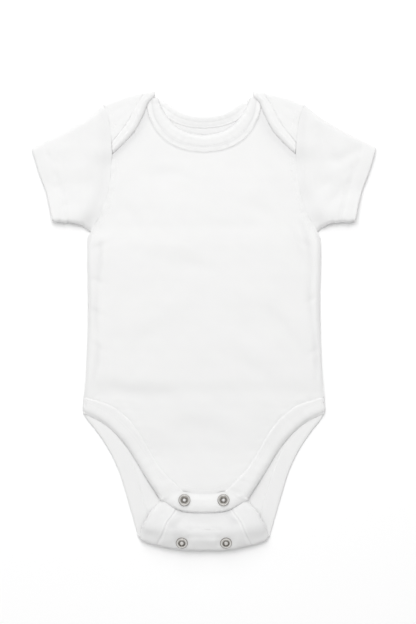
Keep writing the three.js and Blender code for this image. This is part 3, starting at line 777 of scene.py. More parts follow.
@dataclass
class Patch:
    """A grid of places in millimetres, with shares of full thickness and of painted shade."""

    rows: np.ndarray
    thick: np.ndarray = None
    painted_shade: np.ndarray = None

    def cloth_map(self) -> np.ndarray:
        """Lengths across and along the cloth, in metres, at each place.

        Returns:
            The map, for each place.
        """
        across = np.linalg.norm(np.diff(self.rows, axis=1), axis=-1)
        along = np.linalg.norm(np.diff(self.rows, axis=0), axis=-1)
        u = np.pad(np.cumsum(across, axis=1), ((0, 0), (1, 0)))
        u -= u[:, u.shape[1] // 2][:, None]
        v = np.pad(np.cumsum(along, axis=0), ((1, 0), (0, 0)))
        return np.stack([u, v], axis=-1) * MM

    def add_to(self, bm: bmesh.types.BMesh) -> None:
        """Adds the patch to a mesh as one grid.

        Args:
            bm: the mesh, which has a map and a deform layer.
        """
        count_y, count_x = self.rows.shape[0] - 1, self.rows.shape[1] - 1
        uv, deform = bm.loops.layers.uv[UV_NAME], bm.verts.layers.deform.verify()
        painted_dark = bm.verts.layers.float[PAINTED_SHADE_LAYER]
        made = bmesh.ops.create_grid(bm, x_segments=count_x, y_segments=count_y, size=1.0)["verts"]
        lengths = self.cloth_map()
        where = {}
        for vert in made:
            i = round((vert.co.y + 1) / 2 * count_y)
            j = round((vert.co.x + 1) / 2 * count_x)
            where[vert] = (i, j)
        for vert, (i, j) in where.items():
            vert.co = Vector(self.rows[i, j] * MM)
            vert[deform][0] = 1.0 if self.thick is None else float(self.thick[i, j])
            vert[painted_dark] = 0.0 if self.painted_shade is None else float(self.painted_shade[i, j])
        for face in {f for v in made for f in v.link_faces}:
            for loop in face.loops:
                loop[uv].uv = lengths[where[loop.vert]]


@dataclass
class Cloth:
    """A cloth piece's name, the CAD nodes that it hides and its wall's thickness; its slot, cut, lay, support
    and area are kept but not used.
    """

    name: str
    nodes: tuple
    slot: Slot
    flat: tuple
    held: str
    rests_on: tuple
    area: float
    thickness: float = LAY.wall


def walled(piece: bpy.types.Object) -> bpy.types.Mesh:
    """Applies the piece's wall, and keeps its cut rims crisp.

    Args:
        piece: the object, with its wall as a modifier.

    Returns:
        The new mesh.
    """
    graph = bpy.context.evaluated_depsgraph_get()
    mesh = bpy.data.meshes.new_from_object(piece.evaluated_get(graph))
    mesh.set_sharp_from_angle(angle=RIM_ANGLE)
    piece.modifiers.clear()
    piece.data = mesh
    return mesh


def finish_cloth(
    cloth: Cloth, patches: list, material: bpy.types.Material, upward: bool = True
) -> bpy.types.Object:
    """Args:
        cloth: its name, nodes and wall thickness; its slot and cut are not used.
        patches: grids that share their edges.
        material: its finish.
        upward: whether the first patch's faces should look up on the whole.

    Returns:
        The object.
    """
    bm = bmesh.new()
    bm.loops.layers.uv.new(UV_NAME)
    bm.verts.layers.deform.verify()
    bm.verts.layers.float.new(PAINTED_SHADE_LAYER)
    for patch in patches:
        patch.add_to(bm)
    bmesh.ops.remove_doubles(bm, verts=bm.verts, dist=0.01 * MM)
    bmesh.ops.recalc_face_normals(bm, faces=bm.faces)
    lift = sum(f.normal.z * f.calc_area() for f in bm.faces)
    if upward and lift < 0:
        bmesh.ops.reverse_faces(bm, faces=bm.faces)
    for face in bm.faces:
        face.smooth = True
    mesh = bpy.data.meshes.new(cloth.name)
    bm.to_mesh(mesh)
    bm.free()
    piece = bpy.data.objects.new(cloth.name, mesh)
    bpy.context.collection.objects.link(piece)
    piece.vertex_groups.new(name=THICK_GROUP)
    wall = piece.modifiers.new("wall", "SOLIDIFY")
    wall.thickness = cloth.thickness * MM
    wall.offset = 0
    wall.vertex_group = THICK_GROUP
    wall.use_quality_normals = True
    mesh.materials.append(material)
    mesh = walled(piece)
    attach(piece, "root")
    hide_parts(*cloth.nodes)
    log.info("%s: %d faces", cloth.name, len(mesh.polygons))
    return piece


# ---- Stitches ----
@dataclass
class Thread:
    """Rows of short stitches, gathered here and made as one object.

    Attributes:
        pitch: distance from one stitch to the next.
        length, radius: a stitch's size.
        runs: the rows sewn so far.
    """

    pitch: float = 2.6
    length: float = 2.0
    radius: float = 0.26
    runs: list = field(default_factory=list)

    def sew(self, places: np.ndarray, normals: np.ndarray) -> None:
        """Adds one row of stitches along a line on a surface.

        Args:
            places: points on the surface.
            normals: the surface's normals there.
        """
        reach = reach_of(places)
        middles = np.arange(self.pitch / 2, reach[-1], self.pitch)

        def read(rows: np.ndarray, at: np.ndarray) -> np.ndarray:
            """Rows read at distances along the line."""
            return np.stack([np.interp(at, reach, c) for c in rows.T], axis=-1)

        here = read(places, middles)
        run = read(places, middles + 0.4) - read(places, middles - 0.4)
        run /= np.maximum(np.linalg.norm(run, axis=1, keepdims=True), 1e-9)
        up = read(normals, middles)
        up -= run * np.sum(up * run, axis=1, keepdims=True)
        up /= np.maximum(np.linalg.norm(up, axis=1, keepdims=True), 1e-9)
        self.runs.append((here, run, np.cross(run, up), up))

    def make(self, name: str, material: bpy.types.Material, slot: Slot) -> bpy.types.Object:
        """Makes all the rows as one object of small rounded stitches.

        Args:
            name: the object's name.
            material: its finish.
            slot: not used.

        Returns:
            The object.
        """
        bm = bmesh.new()
        bmesh.ops.create_uvsphere(bm, u_segments=6, v_segments=4, radius=1.0)
        bmesh.ops.triangulate(bm, faces=bm.faces)
        bm.verts.index_update()
        ball = np.array([v.co[:] for v in bm.verts])
        faces = np.array([[v.index for v in f.verts] for f in bm.faces])
        bm.free()
        shape = ball * (self.radius, self.radius * 0.8, self.length / 2)
        points = [h[:, None] + shape[:, 2, None] * r[:, None] + shape[:, 0, None] * s[:, None]
                  + shape[:, 1, None] * u[:, None] for h, r, s, u in self.runs]
        points = np.concatenate(points).reshape(-1, 3) * MM
        count = len(points) // len(ball)
        numbers = (faces[None] + np.arange(count)[:, None, None] * len(ball)).reshape(-1, 3)
        mesh = bpy.data.meshes.new(name)
        mesh.from_pydata(points.tolist(), [], numbers.tolist())
        mesh.uv_layers.new(name=UV_NAME)
        mesh.shade_smooth()
        mesh.materials.append(material)
        piece = bpy.data.objects.new(name, mesh)
        bpy.context.collection.objects.link(piece)
        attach(piece, "root")
        log.info("%s: %d stitches", name, count)
        return piece


# ---- Panels ----
def fill(right: np.ndarray, bottom: np.ndarray, top: np.ndarray) -> np.ndarray:
    """Places that fill half a panel, from its right edge, bottom and top lines.

    Args:
        right: the right edge, upwards.
        bottom: the bottom line, from the middle outwards.
        top: the top line, from the middle outwards.

    Returns:
        Rows of x and y.
    """
    v = reach_of(right)
    v = (v / v[-1])[:, None]
    share = (top[:, 0] / top[-1, 0])[None]
    low = (1 - v) ** 3
    x = right[:, :1] * share + low * (bottom[None, :, 0] - right[0, 0] * share)
    y = right[:, 1:] + low * (bottom[None, :, 1] - right[0, 1]) + v**3 * (top[None, :, 1] - right[-1, 1])
    return np.stack([x, y], axis=-1)


def with_height(plan: np.ndarray, height: np.ndarray) -> np.ndarray:
    """Rows of x and y with their heights."""
    return np.concatenate([plan, height[..., None]], axis=-1)


@dataclass
class Front:
    """The front panel.

    Attributes:
        shoulder_tuck: how far its shoulder stays below the back's shoulder fold, under the flap.
        stitch_insets: distances of the stitches from the armhole.
        beside_flap: depth of the trough along a flap's edge.
        groove: depth of the stitches' grooves.
        slack, uneven, puckers: its waves, from the widest to those beside the seams.
    """

    shoulder_tuck: float = 5.2
    stitch_insets: tuple = (2.6, 5.2)
    beside_flap: float = 0.5
    groove: float = 0.15
    slack: Ripple = Ripple(0.16, 46, 11)
    uneven: Ripple = Ripple(0.045, 15, 12)
    puckers: Ripple = Ripple(1.0, 8, 13)

    def relief(self, x: np.ndarray, y: np.ndarray) -> np.ndarray:
        """Fine unevenness: slack cloth, stitch grooves and puckers beside the seams.

        Args:
            x, y: places.

        Returns:
            The lift at each place.
        """
        clear = smooth((150 - y) / 12)
        rise = self.slack.at(x, y) + self.uneven.at(x, y)
        arm = distance_to(ARM_LINE, x, y)
        beside_arm = smooth((y - 74) / 6)
        for inset in self.stitch_insets:
            rise = rise - self.groove * bell(arm - inset, 0.9) * beside_arm
        neck = FRONT_NECK.seam_line.distance(x, y)
        leg = FRONT_LEG.seam_line.distance(x, y)
        pucker = 0.09 * bell(neck, 9) + 0.11 * bell(leg, 10) + 0.1 * bell(arm, 8)
        rise = rise + pucker * self.puckers.at(x, y)
        rise = rise - 0.25 * bell(neck, 1.4) - 0.2 * bell(leg, 1.4)
        flap = FLAP.rolled_line.distance(x, y)
        return rise * lerp(0.25, 1.0, clear) - self.beside_flap * bell(flap - 4.0, 3.2)

    def painted_shade_map(self, x: np.ndarray, y: np.ndarray) -> np.ndarray:
        """Painted shade beside the flaps, along the sides, in the creases' troughs and along the neck and tab
        seams, standing in for the shade that falls there.

        Args:
            x, y: places.

        Returns:
            The share of painted shade.
        """
        flap = FLAP.rolled_line.distance(x, y)
        side = BODY_EDGE.read(y, 1, 0) - np.abs(x)
        neck = FRONT_NECK.seam_line.distance(x, y)
        tab = TAB_SEAM.distance(x, y, 20)
        shade = 0.5 * bell(flap - 2.5, 6.0) + 0.9 * bell(neck, 1.1)
        shade = shade + 0.6 * bell(tab - 0.6, 0.9) * smooth((20 - np.abs(x)) / 3)
        shade = shade + lerp(0.45, 0.16, smooth((side - 12) / 14)) * np.clip(-LAY.fallen(x, y), 0, 1)
        return np.clip(shade + 0.4 * bell(side - 1.8, 1.5) * smooth((88 - y) / 12), 0, 1)

    def build(self, finishes: Finishes) -> bpy.types.Object:
        """Makes the panel.

        Args:
            finishes: the shared finishes.

        Returns:
            The object.
        """
        gap = LAY.seam / 2
        leg = offset(FRONT_LEG.seam_line.evenly(62), gap)
        side = SIDE.evenly(70)
        arm = offset(ARMHOLE.evenly(76), gap)
        right = np.vstack([leg, side[1:], arm[1:]])
        neck = offset(FRONT_NECK.seam_line.evenly(42), -gap)
        shares = 1 - (1 - np.linspace(0, 1, 27)[1:]) ** 1.5
        x = lerp(neck[-1, 0], right[-1, 0], shares)
        low = SHOULDER_TOP.read(x) - self.shoulder_tuck
        shoulder = np.column_stack([x, lerp(low, right[-1, 1], smooth(shares * 3 - 2))])
        top = np.vstack([neck, shoulder])
        x = top[:, 0] / top[-1, 0] * right[0, 0]
        seam = TAB_SEAM.read(x) + gap
        bottom = np.column_stack([x, seam + (right[0, 1] - seam[-1]) * smooth(x / right[0, 0] * 1.6 - 0.6)])
        plan = both_sides(fill(right, bottom, top))
        x, y = plan[..., 0], plan[..., 1]
        rows = with_height(plan, LAY.front_form(x, y) + self.relief(x, y))
        return finish_cloth(
            Cloth("front_cloth", ("front_panel",), Slot.CLOTH, (0.22, 0.36), "laid", ("back_cloth",), 0.0588),
            [Patch(rows, painted_shade=self.painted_shade_map(x, y))], finishes.cloth)


@dataclass
class Back:
    """The back panel with its two shoulder flaps and its folded-up crotch end.

    Attributes:
        fold_turns: rows round a shoulder fold.
        side_tuck: how far its side lies inside the front's.
        stitch_rows: y of the stitches across the folded-up end.
        dents: creases in that end.
        flap_stitches: distances of the flap's stitches from the armhole.
        painted_neck_shade: the painted shade on the back inside the neck opening.
        flap_slack, flap_puckers, fold_fine, fold_slack: waves in the flaps and in the folded-up end.
    """

    fold_turns: int = 13
    side_tuck: float = 0.2
    stitch_rows: tuple = (-188.4, -195.7)
    dents: tuple = (
        Crease((-19, -180), (-32, -187), 1.1, 3.2, 1.0),
        Crease((20, -178), (32, -184), 0.9, 3.0, -1.0),
        Crease((-13, -182), (10, -183), 0.5, 3.0, -1.0),
    )
    flap_stitches: tuple = (2.6, 5.2)
    painted_neck_shade: float = 0.2
    flap_slack: Ripple = Ripple(0.1, 14, 21)
    flap_puckers: Ripple = Ripple(1.0, 7, 22)
    fold_fine: Ripple = Ripple(0.12, 13, 31)
    fold_slack: Ripple = Ripple(0.16, 30, 32)

    def shoulder_fold(self, xs: np.ndarray, turns: np.ndarray) -> np.ndarray:
        """Rows round the shoulder fold, from the back up and over onto the flap.

        Args:
            xs: places along the shoulder.
            turns: angles round the fold, from 0 below to pi on top.

        Returns:
            The rows.
        """
        radius = (LAY.flap - LAY.bound) / 2
        rows = []
        for turn in turns:
            y = SHOULDER_TOP.read(xs) - radius * (1 - math.sin(turn))
            rows.append(np.column_stack([xs, y, np.full_like(xs, LAY.bound + radius * (1 - math.cos(turn)))]))
        return np.array(rows)

    def flap_relief(self, x: np.ndarray, y: np.ndarray) -> np.ndarray:
        """Gathers and stitch grooves on a flap.

        Args:
            x, y: places.

        Returns:
            The lift at each place.
        """
        arm = distance_to(ARM_LINE, x, y)
        edge = FLAP.seam_line.distance(x, y, 30)
        rise = self.flap_slack.at(x, y) + 0.12 * bell(edge, 8) * self.flap_puckers.at(x, y)
        for inset in self.flap_stitches:
            rise = rise - 0.14 * bell(arm - inset, 0.9)
        return rise - 0.12 * bell(edge, 1.4)

    def fold_relief(self, rows: np.ndarray) -> np.ndarray:
        """How far the folded-up end stands proud of its plain form.

        Args:
            rows: rows of places.

        Returns:
            The lift at each place.
        """
        x, y, z = rows[..., 0], rows[..., 1], rows[..., 2]
        upper = smooth((z - 6) / 2)
        rise = self.fold_fine.at(x, y + z) + self.fold_slack.at(x, y + z)
        between = smooth((14 - np.abs(x)) / 5) + smooth((np.abs(x) - 26) / 5)
        rise = rise + 0.9 * bell(y + 199, 4.6) * between
        rise = rise + sum(c.rise(x, y) for c in self.dents)
        across = smooth((17 - np.abs(x)) / 3)
        for row in self.stitch_rows:
            rise = rise - 0.4 * bell(y - row, 1.1) * across * upper
        return rise * smooth((z - 2.5) / 3) * smooth((np.abs(x[:, -1:]) - np.abs(x)) / 4)

    def build(self, finishes: Finishes) -> bpy.types.Object:
        """Makes the panel.

        Args:
            finishes: the shared finishes.

        Returns:
            The object.
        """
        gap = LAY.seam / 2
        leg = offset(BACK_LEG.seam_line.at(np.linspace(1, 0, 62)), gap)
        side = SIDE.evenly(60) - (self.side_tuck, 0)
        arm = offset(ARM_LINE, gap)
        right = np.vstack([leg, side[1:], arm[1:]])
        neck = offset(BACK_NECK.seam_line.evenly(36), -gap)
        crossing = BACK_NECK.seam[-1][0] + gap
        xs = np.linspace(crossing, arm[-1, 0], 27)
        turns = self.shoulder_fold(xs, np.linspace(0, math.pi, self.fold_turns))
        top = np.vstack([neck[:-1], turns[0][:, :2]])
        right[-1] = top[-1]
        share = top[:, 0] / top[-1, 0]
        bottom = LAY.fold_point(share * right[0, 0], 0.0)[:, :2]
        right[0] = bottom[-1]
        plan = fill(right, bottom, top)
        body = with_height(plan, LAY.back_height(plan[..., 1]))
        body[-1, len(neck) - 1:] = turns[0]
        distances = np.linspace(0, SECTION.length, 46)[:0:-1]
        folded = [LAY.fold_point(share * (FOLD_INNER.read(d) - gap), d) for d in distances]
        whole = both_sides(np.concatenate([folded, body]))
        end = slice(0, len(folded))
        lean = normals_of(whole)
        lean *= np.sign(np.median(lean[len(folded):, :, 2]))
        whole[end] -= lean[end] * self.fold_relief(whole[end])[..., None]
        flap = self.flap(turns[-1], arm)
        x, y = np.abs(whole[..., 0]), whole[..., 1]
        # Painted shade inside the neck and on the folded-up end.
        shade = self.painted_neck_shade * smooth((y - 163) / 4) * smooth((42 - x) / 8)
        shade[end] = painted_fold_shade(whole[end], x[end, -1:] - x[end])
        patches = [Patch(whole, painted_shade=shade)]
        for rows in (turns, flap):
            patches += [Patch(rows), Patch(flipped(rows))]
        return finish_cloth(
            Cloth("back_cloth", ("back_panel",), Slot.CLOTH, (0.22, 0.53), "folded", ("floor",), 0.0758),
            patches, finishes.cloth)

    def flap(self, last: np.ndarray, arm: np.ndarray) -> np.ndarray:
        """Rows of the right flap, from its shoulder fold to its bound edge.

        Args:
            last: the shoulder fold's last row.
            arm: the armhole line.

        Returns:
            The rows.
        """
        edge = offset(FLAP.seam_line.evenly(len(last)), LAY.seam)
        edge[0] = last[0, :2]
        rows = []
        share = np.linspace(0, 1, len(last))
        order = np.argsort(arm[:, 1])
        for t in np.linspace(0, 1, 30):
            plan = lerp(last[:, :2], edge, t)
            end = np.interp(plan[-1, 1], arm[order, 1], arm[order, 0]) - LAY.seam
            plan[:, 0] += share**3 * (end - plan[-1, 0]) * smooth(np.array(t * 6))
            height = LAY.flap_height(plan[:, 0], plan[:, 1])
            height = height + self.flap_relief(plan[:, 0], plan[:, 1]) * smooth(np.array(t * 4))
            height = lerp(last[:, 2], height, smooth(np.array(t * 5)))
            rows.append(np.column_stack([plan, height]))
        rows = np.array(rows)
        rows[:, 0] = last[0]
        return rows


@dataclass
class Sleeve:
    """A short set-in sleeve: a flat tube with its hem turned up inside.

    Attributes:
        sign: 1 on the right and -1 on the left.
        cuff_gap: distance between its two layers at the cuff.
        hem, hem_step: the hem's depth and its distance from the outer layer.
        hem_rows: distances of the hem's stitches from the cuff.
        shade: painted shade all over the sleeve, which darkens it a little.
        around, steps: places round a ring and rings from armhole to cuff.
        round_off: share of its width that rounds over at each fold.
    """

    sign: int
    cuff_gap: float = 3.9
    hem: float = 11.0
    hem_step: float = 1.3
    hem_rows: tuple = (11.0, 13.4)
    shade: float = 0.1
    around: int = 72
    steps: int = 48
    round_off: float = 0.035

    @property
    def hand(self) -> str:
        """Which side it is on."""
        return "right" if self.sign > 0 else "left"

    def relief(self, x: np.ndarray, y: np.ndarray) -> np.ndarray:
        """Creases, the trough beside the armhole and the hem's stitched grooves.

        Args:
            x, y: places.

        Returns:
            The lift of the upper layer.
        """
        signed = x * self.sign
        rise = Ripple(0.2, 26, 41 + self.sign).at(signed, y) + Ripple(0.05, 9, 43).at(signed, y)
        arm = distance_to(ARM_LINE, x, y)
        rise = rise - 0.35 * bell(arm - 6.0, 4.2) * smooth((y - 92) / 25)
        rise = rise - 0.35 * bell(arm, 1.2)
        cuff = CUFF.distance(x, y)
        for inset in self.hem_rows:
            rise = rise - 0.3 * bell(cuff - inset, 0.9)
        rise = rise + 0.3 * smooth((self.hem - cuff) / 5)
        rise = rise + bell(cuff - self.hem - 1, 6) * Ripple(0.14, 8, 44).at(signed, y)
        shift = 6 if self.sign > 0 else 0
        for crease in (
            Crease((140, 163 - shift), (112, 150 - shift), 0.75, 4.5, 2.5),
            Crease((104, 172), (126, 138), 0.5, 5.5, -3.0),
            Crease((108, 98), (132, 116 + shift), 0.6, 5.0, 2.0),
            Crease((98, 118), (120, 124), 0.35, 5.0, 2.0),
        ):
            rise = rise + crease.rise(signed, y)
        return rise

    def ring(self, s: float) -> tuple:
        """One ring of the tube.

        Args:
            s: share of the way from armhole to cuff.

        Returns:
            The ring's places and the share c of each.
        """
        half = self.around // 2
        c = (1 - np.cos(np.linspace(0, math.pi, half + 1))) / 2
        c = lerp(c, np.linspace(0, 1, half + 1), 0.6)
        arm = offset(ARMHOLE.evenly(120), -LAY.seam)
        seam = Line([SLEEVE_TOP.points[0], *arm[::-8]])
        start, end = seam.at(c), CUFF.at(c)
        top, low = SLEEVE_TOP.at(s), SLEEVE_UNDER.at(s)
        top = top - lerp(SLEEVE_TOP.points[0], CUFF.points[0], s)
        low = low - lerp(SLEEVE_UNDER.points[0], CUFF.points[-1], s)
        plan = lerp(start, end, s) + (1 - c)[:, None] * top + c[:, None] * low
        plan[:, 1] += 0.45 * waves(plan[:, 0], 0 * c, 6.5, 47 + self.sign, 5) * c**8 * min(s * 8, 1)
        x, y = plan[:, 0], plan[:, 1]
        base = LAY.rest + 3.6 * smooth((c - 0.55) / 0.45) * smooth(np.array(s * 2.2))
        flap = LAY.flap_height(np.full_like(x, 86.0), y)
        seam_gap = lerp(LAY.front_form(x, y), flap, smooth((y - 142) / 16)) - LAY.rest
        puff = 1.2 * math.sin(math.pi * s) * np.sin(math.pi * c)
        gap = lerp(np.maximum(seam_gap, 2.9), self.cuff_gap, smooth(np.array(s * 1.6))) + puff
        near = np.clip(np.minimum(c, 1 - c) / self.round_off, 0, 1)
        share = 0.5 * np.sqrt(1 - (1 - near) ** 2)
        lift = self.relief(x, y) * smooth(near) * smooth(np.array(s * 12 + 0.3))
        upper = np.column_stack([plan, base + gap * (0.5 + share) + lift])
        lower = np.column_stack([plan, base + gap * (0.5 - share)])
        return np.vstack([upper, lower[-2:0:-1]]), np.concatenate([c, c[-2:0:-1]])

    def build(self, finishes: Finishes) -> bpy.types.Object:
        """Makes the sleeve.

        Args:
            finishes: the shared finishes.

        Returns:
            The object.
        """
        rings = [self.ring(s)[0] for s in np.linspace(0, 1, self.steps)]
        cuff, before = rings[-1], rings[-3]
        half = self.around // 2
        across = cuff[half] - cuff[0]
        across[2] = 0
        across /= np.linalg.norm(across)
        into = np.zeros_like(cuff)
        into[:, 2] = np.where(np.arange(len(cuff)) < half, -1.0, 1.0)
        into[0], into[half] = across, -across
        out = cuff - before
        out /= np.linalg.norm(out, axis=1, keepdims=True)
        radius = self.hem_step / 2
        for turn in np.linspace(0, math.pi, 7)[1:]:
            rings.append(cuff + out * radius * math.sin(turn) + into * radius * (1 - math.cos(turn)))
        for reach in (0.35, 0.7, 1.0):
            rings.append(cuff - out * self.hem * reach + into * self.hem_step)
        rows = np.array(rings)
        rows[..., 0] *= self.sign
        rows = np.concatenate([rows, rows[:, :1]], axis=1)
        return finish_cloth(
            Cloth(f"sleeve_cloth_{self.hand}", (f"sleeve_{self.hand}",), Slot.CLOTH, (0.25, 0.075), "laid",
                  ("floor",), 0.0129),
            [Patch(rows, painted_shade=self.painted_shade_map(rows))], finishes.cloth, upward=False)

    def painted_shade_map(self, rows: np.ndarray) -> np.ndarray:
        """Painted shade all over, and more in the trough beside the armhole and in the pit of the arm.

        Args:
            rows: rows of places.

        Returns:
            The share of painted shade.
        """
        x, y = rows[..., 0] * self.sign, rows[..., 1]
        arm = distance_to(ARM_LINE, x, y)
        trough = 0.12 * bell(arm - 5.0, 4.5) * smooth((y - 95) / 20)
        pit = 0.2 * bell(np.hypot(x - 108, y - 90), 9)
        return np.clip(self.shade + trough + pit, 0, 1)


# ---- Binding strips and tab ----
def painted_fold_shade(rows: np.ndarray, from_seam: np.ndarray) -> np.ndarray:
    """Painted shade on top of the folded-up end: under the tab's edge, in its dents, on its upper part and
    towards its sides, with a painted dark line on the seam and less shade on the stitch lines beside it, so
    that they show as painted light lines.

    Args:
        rows: places on the folded-up end.
        from_seam: each place's distance from the leg strip's seam.

    Returns:
        The share of painted shade.
    """
    x, y, z = rows[..., 0], rows[..., 1], rows[..., 2]
    tab = TAB_EDGE.distance(x, y, 30)
    under = (0.45 * bell(tab, 3.8) + 0.2 * bell(tab, 9)) * smooth((30 - np.abs(x)) / 8)
    dents = 0.65 * bell(np.hypot(x + 27, y + 187), 5.5) + 0.45 * bell(np.hypot(x - 27, y + 183), 5.0)
    shade = 0.3 * smooth((y + 199) / 8) + 0.14 * smooth((np.abs(x) - 25) / 12) + dents + under
    shade = shade * (1 - 0.9 * bell(from_seam - 1.5, 0.8)) + 0.2 * bell(from_seam, 0.6)
    return np.clip(shade, 0, 1) * smooth((z - 4) / 3)


@dataclass
class Strip:
    """A strip of knit folded double over a cut edge, with two rows of stitches.

    Attributes:
        across: places from its seam to its rolled edge.
        grooves: distances of the stitches in from the rolled edge.
        groove_depth, pucker: depth of the stitches' grooves and height of the puckers.
        seed: which puckers.
        edge_drop, edge_run: how far its edge rolls down, and over what width.
        edge_round: width over which its wall thins to a round edge.
    """

    across: int = 26
    grooves: tuple = (10.6, 14.1)
    groove_depth: float = 0.16
    pucker: float = 0.1
    seed: int = 51
    edge_drop: float = 1.0
    edge_run: float = 4.0
    edge_round: float = 2.6

    def thickness(self, width: np.ndarray, w: np.ndarray) -> np.ndarray:
        """The wall's share of full thickness: round at the rolled edge, thin at the seam.

        Args:
            width: each row's width.
            w: share of the way from seam to rolled edge.

        Returns:
            The share of full thickness.
        """
        edge = np.clip((1 - w) * width / self.edge_round, 0, 1)
        seam = np.clip(w * width / 1.2, 0, 1)
        return np.maximum(np.sqrt(1 - (1 - edge) ** 2), 0.12) * lerp(0.5, 1.0, smooth(seam))

    def drop(self, from_edge: np.ndarray) -> np.ndarray:
        """How far the strip rolls down towards its edge."""
        return self.edge_drop * np.clip(1 - from_edge / self.edge_run, 0, 1) ** 2

    def relief(self, width: np.ndarray, w: np.ndarray, run: np.ndarray) -> np.ndarray:
        """The lift across and along the strip.

        Args:
            width: the strip's width at each section.
            w: share of the way from seam to rolled edge.
            run: distance along the strip.

        Returns:
            The lift at each place.
        """
        from_edge = (1 - w) * width
        lift = 0.22 * bell(from_edge - 3.6, 2.4) - self.drop(from_edge)
        for groove in self.grooves:
            lift = lift - self.groove_depth * bell(from_edge - groove, 0.75)
        return lift + self.pucker * waves(run, from_edge * 0.35, 6.5, self.seed)

    def lifted(self, rows: np.ndarray, w: np.ndarray) -> tuple:
        """Rows moved out along their normals by the strip's relief, and their thickness.

        Args:
            rows: rows of places.
            w: share of the way from seam to rolled edge.

        Returns:
            The moved rows and their thickness.
        """
        width = widths(rows)[:, None]
        run = reach_of(rows[:, rows.shape[1] // 2])[:, None]
        w = np.broadcast_to(w[None], rows.shape[:2])
        return rows + upward_normals(rows) * self.relief(width, w, run)[..., None], self.thickness(width, w)


def on_height(height: object) -> object:
    """A way to place plan points at a height that depends on x and y."""
    return lambda plan: with_height(plan, height(plan[..., 0], plan[..., 1]))


def bound(plan: np.ndarray) -> np.ndarray:
    """Plan points placed at a strip's height on the surface."""
    return with_height(plan, np.full(plan.shape[:2], LAY.bound))


@dataclass
class NeckBindingFront(Strip):
    """The strip round the front of the neck."""

    edge_drop: float = 0.9
    edge_run: float = 4.5

    def rows(self) -> tuple:
        """Rows of the whole strip and their thickness.

        Returns:
            The rows and their thickness.
        """
        w = np.linspace(0, 1, self.across)
        plan = mirrored(FRONT_NECK.places(60, LAY.seam / 2, w))
        return self.lifted(on_height(LAY.front_form)(plan), w)

    def painted_shade_map(self, rows: np.ndarray) -> np.ndarray:
        """Painted shade in the stitches' groove, above it and at the rolled edge.

        Args:
            rows: rows of places.

        Returns:
            The share of painted shade.
        """
        width = widths(rows)[:, None]
        from_seam = np.linspace(0, 1, self.across)[None] * width
        above = 0.3 * smooth((from_seam - 4.4) / 1.2) * smooth((10 - from_seam) / 5)
        groove, edge = 0.55 * bell(from_seam - 4.7, 0.7), 0.5 * bell(width - from_seam, 2.0)
        return np.clip(above + groove + edge, 0, 1)

    def build(self, finishes: Finishes, thread: Thread) -> bpy.types.Object:
        """Makes the strip and sews its rows.

        Args:
            finishes: the shared finishes.
            thread: where its stitches go.

        Returns:
            The object.
        """
        rows, thick = self.rows()
        sew_across(thread, rows, self.grooves)
        return finish_cloth(
            Cloth("neck_strip_front", ("neck_binding_front",), Slot.BINDING, (0.0165, 0.156), "laid",
                  ("front_cloth",), 0.0023, LAY.strip),
            [Patch(rows, thick, self.painted_shade_map(rows))], finishes.binding)


STITCH_LIFT = 0.85  # from a strip's middle to its stitches


def groove_columns(width: np.ndarray, groove: float, columns: int) -> tuple:
    """Where a groove crosses each row of a strip.

    Args:
        width: each row's width.
        groove: the groove's distance in from the rolled edge.
        columns: how many places a row has.

    Returns:
        The column before the groove and the share of the way to the next one.
    """
    j = np.clip(1 - groove / width, 0, 1) * (columns - 1)
    low = np.minimum(j.astype(int), columns - 2)
    return low, (j - low)[:, None]


def sew_across(thread: Thread, rows: np.ndarray, grooves: tuple, sink: float = STITCH_LIFT) -> None:
    """Sews rows of stitches along a strip, at distances in from its rolled edge.

    Args:
        thread: where the stitches go.
        rows: the strip's rows, whose last column is the rolled edge.
        grooves: distances in from that edge.
        sink: distance from the wall's middle to the stitches.
    """
    normal, at = upward_normals(rows), np.arange(len(rows))
    for groove in grooves:
        low, t = groove_columns(widths(rows), groove, rows.shape[1])
        place = lerp(rows[at, low], rows[at, low + 1], t)
        up = lerp(normal[at, low], normal[at, low + 1], t)
        thread.sew(place + up * sink, up)


